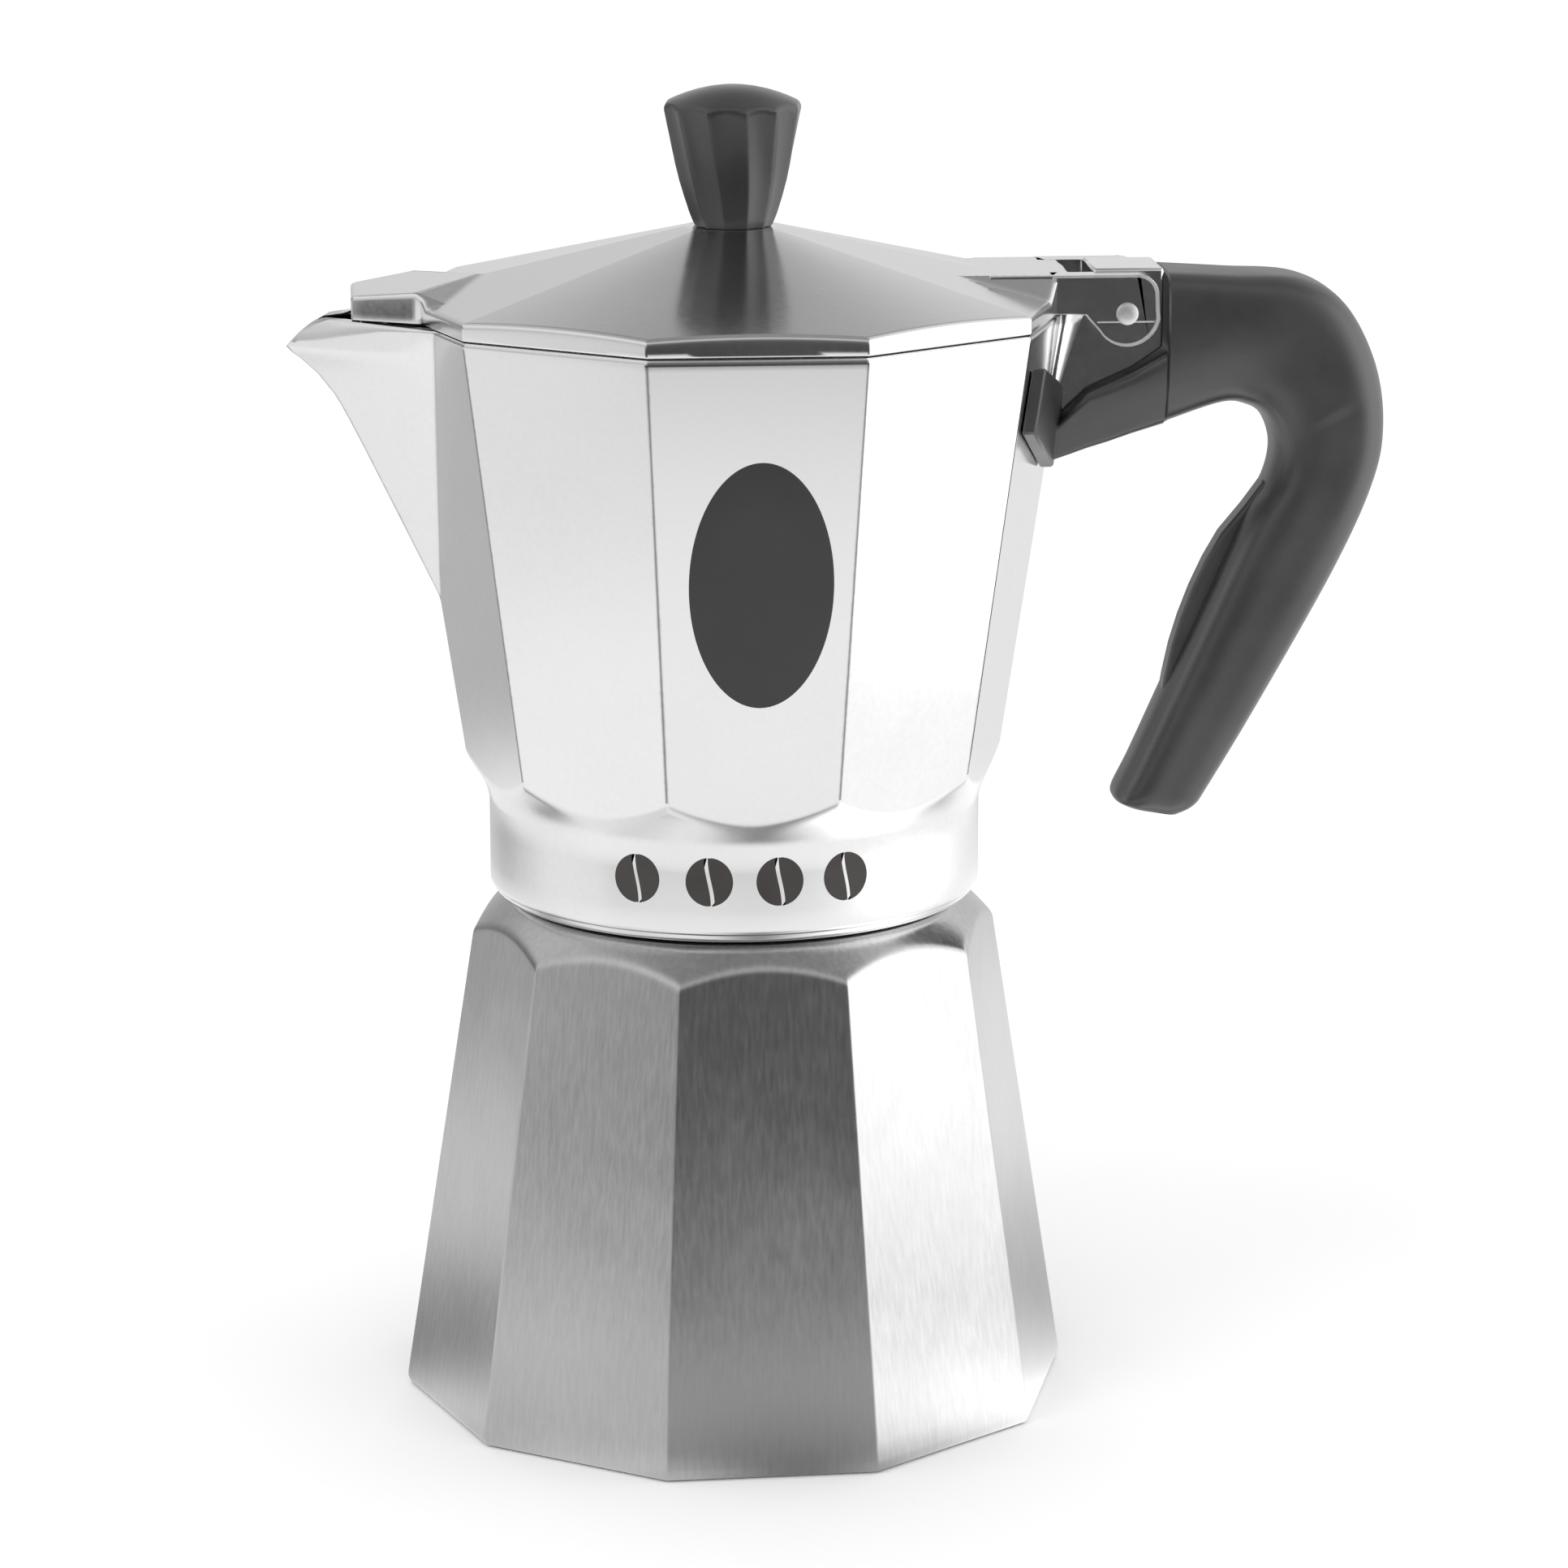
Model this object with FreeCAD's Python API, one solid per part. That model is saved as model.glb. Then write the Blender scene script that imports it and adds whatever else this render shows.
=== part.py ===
import FreeCAD, Part
import math
import os

# Moka pot, in millimetres. +Z is up, the origin is the centre of the base.
# +X points to the handle, -X to the spout, -Y is the front with the badge.

V = FreeCAD.Vector
UP = V(0, 0, 1)
ORIGIN = V(0, 0, 0)

FACETS = 10
HALF_FACET = math.pi / FACETS
TO_FLAT = math.cos(HALF_FACET)

# boiler, the lower half
BOILER_TWIST = 2.3
FOOT_R = 54.0
FOOT_BEVEL = 1.6
BOILER_R = 55.0
BOILER_LEAN = 0.1566
BOILER_FLOOR = 3.5
SHOULDER_Z = 84.0
SHOULDER_R = 37.2
NECK_TOP = 96.0
NECK_R = 35.3
NECK_BORE = 31.3
THREAD_CREST = 36.0
THREAD_PITCH = 3.0
THREAD_BOTTOM = 86.5
THREAD_TURNS = 2.5
TANK_LOW_R = 48.8
TANK_HIGH_R = 37.6
TANK_HIGH_Z = 78.0

# safety valve, measured along its axis from the facet's face
VALVE_Z = 62.0
VALVE_BOSS_R = 8.0
VALVE_BOSS_H = 1.0
VALVE_SHANK_R = 4.0
VALVE_SHANK_IN = 7.5
VALVE_WALL = 3.3
VALVE_WASHER_T = 0.6
VALVE_HEX = 5.5
VALVE_HEX_H = 4.0
VALVE_NOSE_R = 4.3
VALVE_NOSE_END = 8.0
VALVE_BORE = 2.4
VALVE_SEAT_BORE = 1.2
VALVE_SEAT_AT = -5.8
VALVE_CAP_T = 0.8
PLUNGER_HEAD_R = 2.2
PLUNGER_HEAD_T = 1.2
PLUNGER_STEM_R = 0.8
SPRING_R = 1.65
SPRING_WIRE = 0.3
SPRING_TURNS = 8

# funnel with its coffee basket
RIM_T = 0.8
BASKET_RIM_R = 34.6
BASKET_R = 30.9
BASKET_FLOOR = 72.0
FUNNEL_LOW = 58.0
SHEET = 0.8
STEM_R = 4.2
STEM_END = 9.0
STEM_TOP = 60.0
SOCKET_LOW = 52.0
DISC_T = 0.8

# seal between the halves
GASKET_T = 2.7
GASKET_R = 36.0
GASKET_BORE = 26.8
PLATE_R = 26.6
PLATE_T = 0.7

# vessel, the upper half
COLLAR_R = 40.0
COLLAR_LOW = 84.6
COLLAR_TOP = 102.2
COLLAR_ROUND = 2.2
COLLAR_BORE = 36.35
SEAT_Z = NECK_TOP + RIM_T + GASKET_T
CHAMBER_R = 24.0
CHAMBER_TOP = 103.0
VESSEL_FLOOR = 106.0
WAIST_R = 44.1
WAIST_Z = 107.6
BODY_R = 44.3
BODY_AT = 110.9
BODY_LEAN = 0.1505
RIM_Z = 179.2
WALL = 3.0
COLUMN_LOW_R = 9.5
COLUMN_R = 5.6
COLUMN_TOP = 156.0
COLUMN_BORE_LOW = 4.5
COLUMN_BORE = 3.4

# spout, as the ridge's reach at each height
SPOUT_LOW = 133.5
SPOUT_HALF = 19.0
SPOUT_RIDGE = [
    (133.5, 47.9),
    (150.0, 55.8),
    (164.6, 62.9),
    (169.9, 66.6),
    (173.4, 70.4),
    (175.4, 71.8),
    (177.4, 71.2),
    (179.2, 69.4),
]
SPOUT_WALL = 1.9
SPOUT_ROOT = 40.0
CHANNEL_ROOT = 36.0

# hinge
PIN_X = 62.1
PIN_Z = 179.6
PIN_R = 1.4
PIN_HEAD_R = 1.9
PIN_HEAD_T = 0.7
LUG_HALF = 6.9
EAR_IN = 7.3
EAR_OUT = 11.6
EAR_R = 5.5
RUNNING = 0.06

# lid
LID_LOW = 179.5
LID_R = 54.6
LID_EDGE = 182.2
LID_TOP = 192.9
LID_TOP_R = 7.6
LID_T = 1.5
TAB_TOP = 185.8
TAB_IN = 38.0
FORK_X = 53.1
WEB_T = 1.4
NOSE_X = 61.2
NOSE_HALF = 7.8
NOSE_ROOF = 183.4
NOSE_RISE = 0.10
KNOB_SIDES = 12
KNOB_PROFILE = [
    (192.9, 6.3),
    (195.2, 7.3),
    (200.4, 8.9),
    (205.6, 10.0),
    (212.0, 11.2),
]
KNOB_TOP = 215.4

# handle
HANDLE_HALF = 9.5
HANDLE_FACE = 69.2
GAP = 0.25
FIN_HALF = 2.6
SADDLE_T = 2.2
SADDLE_IN = 35.0
SECTION_POINTS = 24
SCREW_X = 75.0
SCREW_R = 1.45
SCREW_HEAD_R = 3.0
SCREW_HEAD_T = 2.0
SCREW_SEAT = 166.0
SCREW_END = 178.4
# each station of the grip: outer (x, z), inner (x, z), half width, squareness
GRIP = [
    ((69.2, 185.5), (69.2, 160.8), 9.5, 5.0),
    ((80.0, 184.9), (78.6, 163.8), 9.5, 4.4),
    ((91.4, 184.1), (82.8, 163.4), 9.6, 3.8),
    ((98.8, 179.6), (85.6, 161.6), 9.7, 3.4),
    ((104.0, 170.0), (87.2, 158.4), 9.8, 3.0),
    ((105.6, 159.6), (87.5, 154.8), 9.9, 2.8),
    ((103.9, 150.0), (86.2, 150.2), 9.9, 2.8),
    ((97.7, 135.6), (82.6, 144.3), 9.6, 2.8),
    ((86.0, 114.0), (72.6, 121.7), 8.9, 2.8),
    ((78.0, 100.2), (65.4, 105.4), 8.3, 2.8),
    ((75.9, 97.2), (62.4, 98.9), 7.9, 3.0),
    ((73.2, 95.6), (63.4, 97.4), 6.4, 3.0),
]

BADGE_X = 0.9
BADGE_Z = 143.3
BADGE_HALF_W = 11.2
BADGE_HALF_H = 19.9
BADGE_T = 0.25
BEAN_Z = 94.7
BEAN_R = 3.9
BEAN_T = 0.12
BEAN_ANGLES = [-26.7, -9.8, 6.2, 21.9]


def decagon(radius, z, twist=0.0):
    points = []
    for k in range(FACETS + 1):
        angle = math.radians(twist) + 2 * HALF_FACET * k
        points.append(V(radius * math.cos(angle), radius * math.sin(angle), z))
    return Part.makePolygon(points)


def facets(rings, twist=0.0):
    """A ten-sided solid through (z, corner radius) rings."""
    wires = [decagon(radius, z, twist) for z, radius in rings]
    return Part.makeLoft(wires, True, True)


def turned(profile):
    """A solid turned about the pot's axis from (radius, z) points."""
    points = [V(radius, 0, z) for radius, z in profile]
    face = Part.Face(Part.makePolygon(points + [points[0]]))
    return face.revolve(ORIGIN, UP, 360)


def slab(outline, low, high):
    """A plan outline of (x, y) points carried up from low to high."""
    points = [V(x, y, low) for x, y in outline]
    face = Part.Face(Part.makePolygon(points + [points[0]]))
    return face.extrude(V(0, 0, high - low))


def plate(outline, y0, y1):
    """A side outline of (x, z) points carried from y0 to y1."""
    points = [V(x, y0, z) for x, z in outline]
    face = Part.Face(Part.makePolygon(points + [points[0]]))
    return face.extrude(V(0, y1 - y0, 0))


def rod(radius, start, end):
    axis = end - start
    return Part.makeCylinder(radius, axis.Length, start, axis)


def hexagon(half_flats, low, high):
    points = []
    for k in range(7):
        angle = math.radians(60 * k + 30)
        reach = half_flats / math.cos(math.radians(30))
        points.append(V(reach * math.cos(angle), reach * math.sin(angle), low))
    return Part.Face(Part.makePolygon(points)).extrude(V(0, 0, high - low))


def boiler_radius(z):
    return BOILER_R - BOILER_LEAN * (z - FOOT_BEVEL)


def body_radius(z):
    return BODY_R + BODY_LEAN * (z - BODY_AT)


def valve_place():
    """Stands a piece drawn along +Z on the boiler's rear facet."""
    lean = math.degrees(math.atan(BOILER_LEAN * TO_FLAT))
    turn = FreeCAD.Rotation(UP, 90 + BOILER_TWIST)
    tip = FreeCAD.Rotation(V(0, 1, 0), 90 - lean)
    reach = boiler_radius(VALVE_Z) * TO_FLAT
    spot = turn.multVec(V(reach, 0, VALVE_Z))
    return FreeCAD.Placement(spot, turn.multiply(tip))


def on_valve(shape):
    piece = shape.copy()
    piece.Placement = valve_place().multiply(shape.Placement)
    return piece


def valve_rod(radius, low, high):
    return rod(radius, V(0, 0, low), V(0, 0, high))


def thread_ridge():
    helix = Part.makeHelix(THREAD_PITCH, THREAD_PITCH * THREAD_TURNS, NECK_R)
    root = 0.8
    crest = 0.25
    inside = NECK_R - 0.3
    points = [
        V(inside, 0, -root),
        V(THREAD_CREST, 0, -crest),
        V(THREAD_CREST, 0, crest),
        V(inside, 0, root),
        V(inside, 0, -root),
    ]
    ridge = Part.Wire(helix).makePipeShell([Part.makePolygon(points)], True, True)
    ridge.translate(V(0, 0, THREAD_BOTTOM))
    return ridge


def boiler():
    rings = [(0, FOOT_R), (FOOT_BEVEL, BOILER_R), (SHOULDER_Z, boiler_radius(SHOULDER_Z))]
    body = facets(rings, BOILER_TWIST)
    wide = 60.0
    shoulder = turned([
        (0, 0),
        (wide, 0),
        (wide, SHOULDER_Z + SHOULDER_R - wide),
        (SHOULDER_R, SHOULDER_Z),
        (0, SHOULDER_Z),
    ])
    body = body.common(shoulder)
    body = body.fuse(rod(NECK_R, V(0, 0, SHOULDER_Z - 1), V(0, 0, NECK_TOP)))
    body = body.fuse(thread_ridge())
    body = body.fuse(on_valve(valve_rod(VALVE_BOSS_R, -1, VALVE_BOSS_H)))
    tank = turned([
        (0, BOILER_FLOOR),
        (TANK_LOW_R - 2.5, BOILER_FLOOR),
        (TANK_LOW_R, BOILER_FLOOR + 2.5),
        (TANK_HIGH_R, TANK_HIGH_Z),
        (NECK_BORE, SHOULDER_Z),
        (NECK_BORE, NECK_TOP + 1),
        (0, NECK_TOP + 1),
    ])
    body = body.cut(tank)
    body = body.cut(on_valve(valve_rod(VALVE_SHANK_R + 0.02, -12, 5)))
    spot_face = valve_rod(VALVE_BOSS_R, -8, -VALVE_WALL)
    return body.cut(on_valve(spot_face))


def valve_body():
    seat = VALVE_BOSS_H + VALVE_WASHER_T
    body = hexagon(VALVE_HEX, seat, seat + VALVE_HEX_H)
    body = body.fuse(valve_rod(VALVE_SHANK_R, -VALVE_SHANK_IN, seat))
    body = body.fuse(valve_rod(VALVE_NOSE_R, seat, VALVE_NOSE_END))
    body = body.cut(valve_rod(VALVE_BORE, VALVE_SEAT_AT, VALVE_NOSE_END))
    return on_valve(body.cut(valve_rod(VALVE_SEAT_BORE, -VALVE_SHANK_IN, 0)))


def valve_washer():
    low = VALVE_BOSS_H
    ring = valve_rod(VALVE_HEX + 0.9, low, low + VALVE_WASHER_T)
    return on_valve(ring.cut(valve_rod(VALVE_SHANK_R + 0.1, low, low + VALVE_WASHER_T)))


def valve_nut():
    low = -VALVE_WALL - 3.2
    nut = hexagon(VALVE_HEX, low, -VALVE_WALL)
    return on_valve(nut.cut(valve_rod(VALVE_SHANK_R + 0.02, low, 0)))


def valve_cap():
    low = VALVE_NOSE_END - VALVE_CAP_T
    ring = valve_rod(VALVE_BORE, low, VALVE_NOSE_END)
    return on_valve(ring.cut(valve_rod(PLUNGER_STEM_R + RUNNING, low, VALVE_NOSE_END)))


def valve_plunger():
    shoulder = VALVE_SEAT_AT + PLUNGER_HEAD_T
    head = valve_rod(PLUNGER_HEAD_R, VALVE_SEAT_AT, shoulder)
    stem = valve_rod(PLUNGER_STEM_R, shoulder, VALVE_NOSE_END + 0.8)
    return on_valve(head.fuse(stem))


def valve_spring():
    low = VALVE_SEAT_AT + PLUNGER_HEAD_T + SPRING_WIRE + 0.05
    high = VALVE_NOSE_END - VALVE_CAP_T - SPRING_WIRE - 0.05
    helix = Part.makeHelix((high - low) / SPRING_TURNS, high - low, SPRING_R)
    section = Part.Wire(Part.Circle(V(SPRING_R, 0, 0), V(0, 1, 0), SPRING_WIRE).toShape())
    coil = Part.Wire(helix).makePipeShell([section], True, True)
    coil.translate(V(0, 0, low))
    return on_valve(coil)


def funnel():
    top = NECK_TOP + RIM_T
    inner = BASKET_R - SHEET
    skin = turned([
        (STEM_R, SOCKET_LOW),
        (STEM_R + SHEET, SOCKET_LOW),
        (STEM_R + SHEET, FUNNEL_LOW),
        (BASKET_R, BASKET_FLOOR),
        (BASKET_R, NECK_TOP),
        (BASKET_RIM_R, NECK_TOP),
        (BASKET_RIM_R, top),
        (inner, top),
        (inner, BASKET_FLOOR + SHEET),
        (inner - 1.2, BASKET_FLOOR + SHEET),
        (STEM_R, FUNNEL_LOW + SHEET + 1.2),
    ])
    return skin


def funnel_stem():
    tube = rod(STEM_R, V(0, 0, STEM_END), V(0, 0, FUNNEL_LOW + SHEET))
    return tube.cut(rod(STEM_R - SHEET, V(0, 0, STEM_END), V(0, 0, STEM_TOP)))


def hole_rings(count, step, radius, low, high):
    """Holes on rings, six more on each ring than on the last."""
    holes = [rod(radius, V(0, 0, low), V(0, 0, high))]
    for ring in range(1, count + 1):
        for k in range(6 * ring):
            angle = 2 * math.pi * k / (6 * ring)
            spot = V(step * ring * math.cos(angle), step * ring * math.sin(angle), low)
            holes.append(rod(radius, spot, spot + V(0, 0, high - low)))
    return Part.makeCompound(holes)


def funnel_disc():
    low = BASKET_FLOOR + SHEET
    disc = rod(BASKET_R - SHEET - 0.1, V(0, 0, low), V(0, 0, low + DISC_T))
    return disc.cut(hole_rings(4, 6.2, 0.9, low - 1, low + 2))


def gasket():
    low = NECK_TOP + RIM_T
    ring = rod(GASKET_R, V(0, 0, low), V(0, 0, low + GASKET_T))
    return ring.cut(rod(GASKET_BORE, V(0, 0, low), V(0, 0, low + GASKET_T)))


def filter_plate():
    face = SEAT_Z - 1.6
    plate_body = turned([
        (0, face),
        (PLATE_R, face),
        (PLATE_R, SEAT_Z),
        (PLATE_R - PLATE_T, SEAT_Z),
        (PLATE_R - PLATE_T, face + PLATE_T),
        (0, face + PLATE_T),
    ])
    return plate_body.cut(hole_rings(4, 5.6, 0.7, face - 1, face + 2))


def spout_section(z, reach, half, root):
    side = body_radius(z) * TO_FLAT + 0.6
    edge = side - 3.4
    points = [
        V(-root, -half, z),
        V(-edge, -half, z),
        V(-reach, 0, z),
        V(-edge, half, z),
        V(-root, half, z),
    ]
    return Part.makePolygon(points + [points[0]])


def spout_half(z):
    return 0.4 + SPOUT_HALF * (z - SPOUT_LOW) / (RIM_Z - SPOUT_LOW)


def spout_outside():
    wires = [spout_section(z, reach, spout_half(z), SPOUT_ROOT) for z, reach in SPOUT_RIDGE]
    return Part.makeLoft(wires, True, True)


def spout_channel():
    wires = []
    for z, reach in SPOUT_RIDGE[1:]:
        inner_half = spout_half(z) - SPOUT_WALL
        wires.append(spout_section(z, reach - 1.6 * SPOUT_WALL, inner_half, CHANNEL_ROOT))
    z, reach = SPOUT_RIDGE[-1]
    wires.append(spout_section(z + 3, reach, spout_half(z) - SPOUT_WALL, CHANNEL_ROOT))
    return Part.makeLoft(wires, True, True)


def lug():
    """The hinge's cast lug, with the tongue that carries the handle."""
    outline = [
        (48.0, 162.0),
        (51.4, 161.8),
        (56.3, 166.8),
        (63.5, 170.0),
        (68.6, 173.4),
        (68.6, 186.2),
        (57.2, 186.2),
        (57.2, RIM_Z),
        (50.0, RIM_Z),
    ]
    cheek = plate(outline, -LUG_HALF, LUG_HALF)
    tongue = Part.makeBox(16, 6, 7, V(66, -3, 174))
    return cheek.fuse(tongue)


def vessel_inside():
    """The room for the coffee, with its corner at the floor rounded off."""
    low = VESSEL_FLOOR
    high = RIM_Z + 1
    room = facets([(low, body_radius(low) - WALL), (high, body_radius(high) - WALL)])
    corner = turned([
        (0, low),
        (COLLAR_R, low),
        (COLLAR_R + 6, low + 6),
        (COLLAR_R + 20, high),
        (0, high),
    ])
    return room.common(corner)


def vessel():
    rings = [(COLLAR_TOP - 2, body_radius(COLLAR_TOP - 2)), (RIM_Z, body_radius(RIM_Z))]
    wide = 70.0
    waist = turned([
        (0, COLLAR_TOP - 2),
        (COLLAR_R, COLLAR_TOP - 2),
        (COLLAR_R, COLLAR_TOP),
        (WAIST_R, WAIST_Z),
        (wide, WAIST_Z + 30),
        (wide, RIM_Z + 1),
        (0, RIM_Z + 1),
    ])
    body = facets(rings).common(waist)
    collar = rod(COLLAR_R, V(0, 0, COLLAR_LOW), V(0, 0, COLLAR_TOP))
    low_edge = [e for e in collar.Edges if abs(e.BoundBox.ZMax - COLLAR_LOW) < 0.01]
    body = body.fuse(collar.makeFillet(COLLAR_ROUND, low_edge))
    body = body.fuse(spout_outside())
    body = body.fuse(lug())
    low = VESSEL_FLOOR
    body = body.cut(vessel_inside())
    body = body.cut(spout_channel())
    column = Part.makeCone(COLUMN_LOW_R, COLUMN_R, COLUMN_TOP - low + 1, V(0, 0, low - 1))
    body = body.fuse(column)
    body = body.cut(rod(COLLAR_BORE, V(0, 0, COLLAR_LOW - 1), V(0, 0, SEAT_Z)))
    chamber = turned([
        (0, SEAT_Z - 1),
        (CHAMBER_R, SEAT_Z - 1),
        (CHAMBER_R, SEAT_Z),
        (0, CHAMBER_TOP + 1),
    ])
    body = body.cut(chamber)
    bore_end = COLUMN_TOP + 1
    body = body.cut(Part.makeCone(COLUMN_BORE_LOW, COLUMN_BORE, bore_end - SEAT_Z, V(0, 0, SEAT_Z)))
    pin_hole = rod(PIN_R + RUNNING, V(PIN_X, -LUG_HALF - 1, PIN_Z), V(PIN_X, LUG_HALF + 1, PIN_Z))
    body = body.cut(pin_hole)
    screw_hole = rod(SCREW_R + 0.05, V(SCREW_X, 0, 170), V(SCREW_X, 0, 179))
    return body.cut(screw_hole)


def column_cap():
    """The pressed outlet on the column, with a window each side."""
    cap = turned([
        (COLUMN_BORE, COLUMN_TOP),
        (COLUMN_R - 0.2, COLUMN_TOP),
        (COLUMN_R - 0.2, COLUMN_TOP + 7),
        (COLUMN_R - 2.0, COLUMN_TOP + 9.5),
        (0, COLUMN_TOP + 10),
        (0, COLUMN_TOP + 8.8),
        (COLUMN_BORE, COLUMN_TOP + 8.2),
    ])
    return cap.cut(Part.makeBox(20, 4.4, 4.6, V(-10, -2.2, COLUMN_TOP + 2.6)))


def hinge_pin():
    reach = EAR_OUT + 0.05
    shaft = rod(PIN_R, V(PIN_X, -reach, PIN_Z), V(PIN_X, reach, PIN_Z))
    near = rod(PIN_HEAD_R, V(PIN_X, -reach - PIN_HEAD_T, PIN_Z), V(PIN_X, -reach, PIN_Z))
    far = rod(PIN_HEAD_R, V(PIN_X, reach, PIN_Z), V(PIN_X, reach + PIN_HEAD_T, PIN_Z))
    return shaft.fuse(near).fuse(far)


def lid_shell():
    """Smooth cone front and back, flat facets beside spout and handle."""
    slope = (LID_TOP - LID_EDGE) / (LID_R - LID_TOP_R)
    prism = facets([(LID_LOW, LID_R), (LID_TOP + 3, LID_R)])
    wide = LID_R + 2
    cone = turned([
        (0, LID_LOW),
        (wide, LID_LOW),
        (wide, LID_EDGE - 2 * slope),
        (LID_TOP_R, LID_TOP),
        (0, LID_TOP),
    ])
    flat = facets([(LID_LOW, LID_R), (LID_EDGE, LID_R), (LID_TOP, LID_TOP_R)])
    side = math.tan(math.radians(54)) * 100
    front = slab([(0, 0), (-side, -100), (side, -100)], LID_LOW, LID_TOP)
    back = slab([(0, 0), (side, 100), (-side, 100)], LID_LOW, LID_TOP)
    round_part = cone.common(prism)
    outside = flat.fuse(round_part.common(front)).fuse(round_part.common(back))
    return outside


def lid_nose():
    root = 36.0
    outline = [
        (-NOSE_X, -NOSE_HALF),
        (-48.8, -SPOUT_HALF),
        (-root, -5),
        (-root, 5),
        (-48.8, SPOUT_HALF),
        (-NOSE_X, NOSE_HALF),
    ]
    block = slab(outline, LID_LOW, LID_TOP)
    roof_in = NOSE_ROOF + NOSE_RISE * (NOSE_X - root)
    above = LID_TOP + 5
    roof = [
        (-NOSE_X - 1, NOSE_ROOF),
        (-root + 1, roof_in),
        (-root + 1, above),
        (-NOSE_X - 1, above),
    ]
    return block.cut(plate(roof, -30, 30))


def lid_tab():
    outline = [
        (TAB_IN, LID_LOW + 1.5),
        (PIN_X, LID_LOW + 1.5),
        (PIN_X + 5.2, LID_LOW + 1.5),
        (PIN_X + 5.2, 182.9),
        (PIN_X + 4.4, 184.6),
        (PIN_X + 2.6, TAB_TOP),
        (TAB_IN, TAB_TOP),
    ]
    tab = plate(outline, -EAR_OUT, EAR_OUT)
    eye = rod(EAR_R, V(PIN_X, -EAR_OUT, PIN_Z), V(PIN_X, EAR_OUT, PIN_Z))
    return tab.fuse(eye)


def lid():
    body = lid_shell().fuse(lid_nose()).fuse(lid_tab())
    slope = (LID_TOP - LID_EDGE) / (LID_R - LID_TOP_R)
    under = LID_TOP - LID_T
    hollow = facets([
        (LID_LOW - 1, LID_R - 1.8),
        (LID_EDGE - LID_T + 1.8 * slope, LID_R - 1.8),
        (under, LID_TOP_R),
    ])
    body = body.cut(hollow)
    nose_hollow = slab([(-NOSE_X + 1.4, -6.6), (-47.5, -16.5), (-47.5, 16.5), (-NOSE_X + 1.4, 6.6)],
                       LID_LOW - 1, NOSE_ROOF - 1.3)
    body = body.cut(nose_hollow)
    fork = Part.makeBox(30, 2 * EAR_IN, 20, V(FORK_X, -EAR_IN, LID_LOW - 8))
    body = body.cut(fork)
    under_web = TAB_TOP - WEB_T
    web_outline = [
        (TAB_IN - 4, under_web),
        (FORK_X, under_web),
        (FORK_X, TAB_TOP),
        (TAB_IN - 4, TAB_TOP),
    ]
    web = plate(web_outline, -EAR_OUT, EAR_OUT)
    body = body.fuse(web.common(lid_tab()))
    body = body.cut(rod(PIN_R + RUNNING, V(PIN_X, -30, PIN_Z), V(PIN_X, 30, PIN_Z)))
    return body.cut(rod(2.3, V(0, 0, LID_TOP - 5), V(0, 0, LID_TOP + 5)))


def knob():
    wires = []
    for z, radius in KNOB_PROFILE:
        points = []
        for k in range(KNOB_SIDES + 1):
            angle = math.radians(5 + 360.0 * k / KNOB_SIDES)
            points.append(V(radius * math.cos(angle), radius * math.sin(angle), z))
        wires.append(Part.makePolygon(points))
    body = Part.makeLoft(wires, True, True)
    rim_z, rim_r = KNOB_PROFILE[-1]
    rise = KNOB_TOP - rim_z
    ball_r = (rim_r * rim_r + rise * rise) / (2 * rise)
    ball = Part.makeSphere(ball_r, V(0, 0, KNOB_TOP - ball_r))
    cap = ball.common(rod(rim_r + 1, V(0, 0, rim_z), V(0, 0, rim_z + 5)))
    body = body.fuse(cap)
    return body.cut(rod(2.05, V(0, 0, 190), V(0, 0, 203.4)))


def knob_washer():
    low = LID_TOP - LID_T - 0.6
    ring = rod(4.6, V(0, 0, low), V(0, 0, low + 0.6))
    return ring.cut(rod(2.2, V(0, 0, low), V(0, 0, low + 0.6)))


def knob_screw():
    seat = LID_TOP - LID_T - 0.6
    head = rod(3.4, V(0, 0, seat - 2.0), V(0, 0, seat))
    shank = rod(2.0, V(0, 0, seat), V(0, 0, 203.0))
    slot = Part.makeBox(8, 0.9, 1.0, V(-4, -0.45, seat - 2.0))
    return head.fuse(shank).cut(slot)


def grip_section(outer, inner, half_width, squareness):
    """A rounded section standing between an outer and an inner (x, z) point."""
    middle = V((outer[0] + inner[0]) / 2, 0, (outer[1] + inner[1]) / 2)
    reach = V(outer[0], 0, outer[1]) - middle
    points = []
    for k in range(SECTION_POINTS):
        angle = 2 * math.pi * k / SECTION_POINTS
        along = math.copysign(abs(math.cos(angle)) ** (2 / squareness), math.cos(angle))
        across = math.copysign(abs(math.sin(angle)) ** (2 / squareness), math.sin(angle))
        points.append(middle + reach * along + V(0, half_width * across, 0))
    return Part.makePolygon(points + [points[0]])


def between(rows, steps):
    """Extra stations on a smooth curve through the given ones."""
    flat = [list(outer) + list(inner) + [half, square] for outer, inner, half, square in rows]
    flat = [flat[0]] + flat + [flat[-1]]
    filled = []
    for k in range(1, len(flat) - 2):
        for step in range(steps):
            t = step / steps
            row = []
            for a, b, c, d in zip(flat[k - 1], flat[k], flat[k + 1], flat[k + 2]):
                bend = (2 * a - 5 * b + 4 * c - d) * t * t + (3 * b - a - 3 * c + d) * t * t * t
                row.append(b + ((c - a) * t + bend) / 2)
            filled.append(row)
    filled.append(flat[-1])
    return [((r[0], r[1]), (r[2], r[3]), r[4], r[5]) for r in filled]


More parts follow.
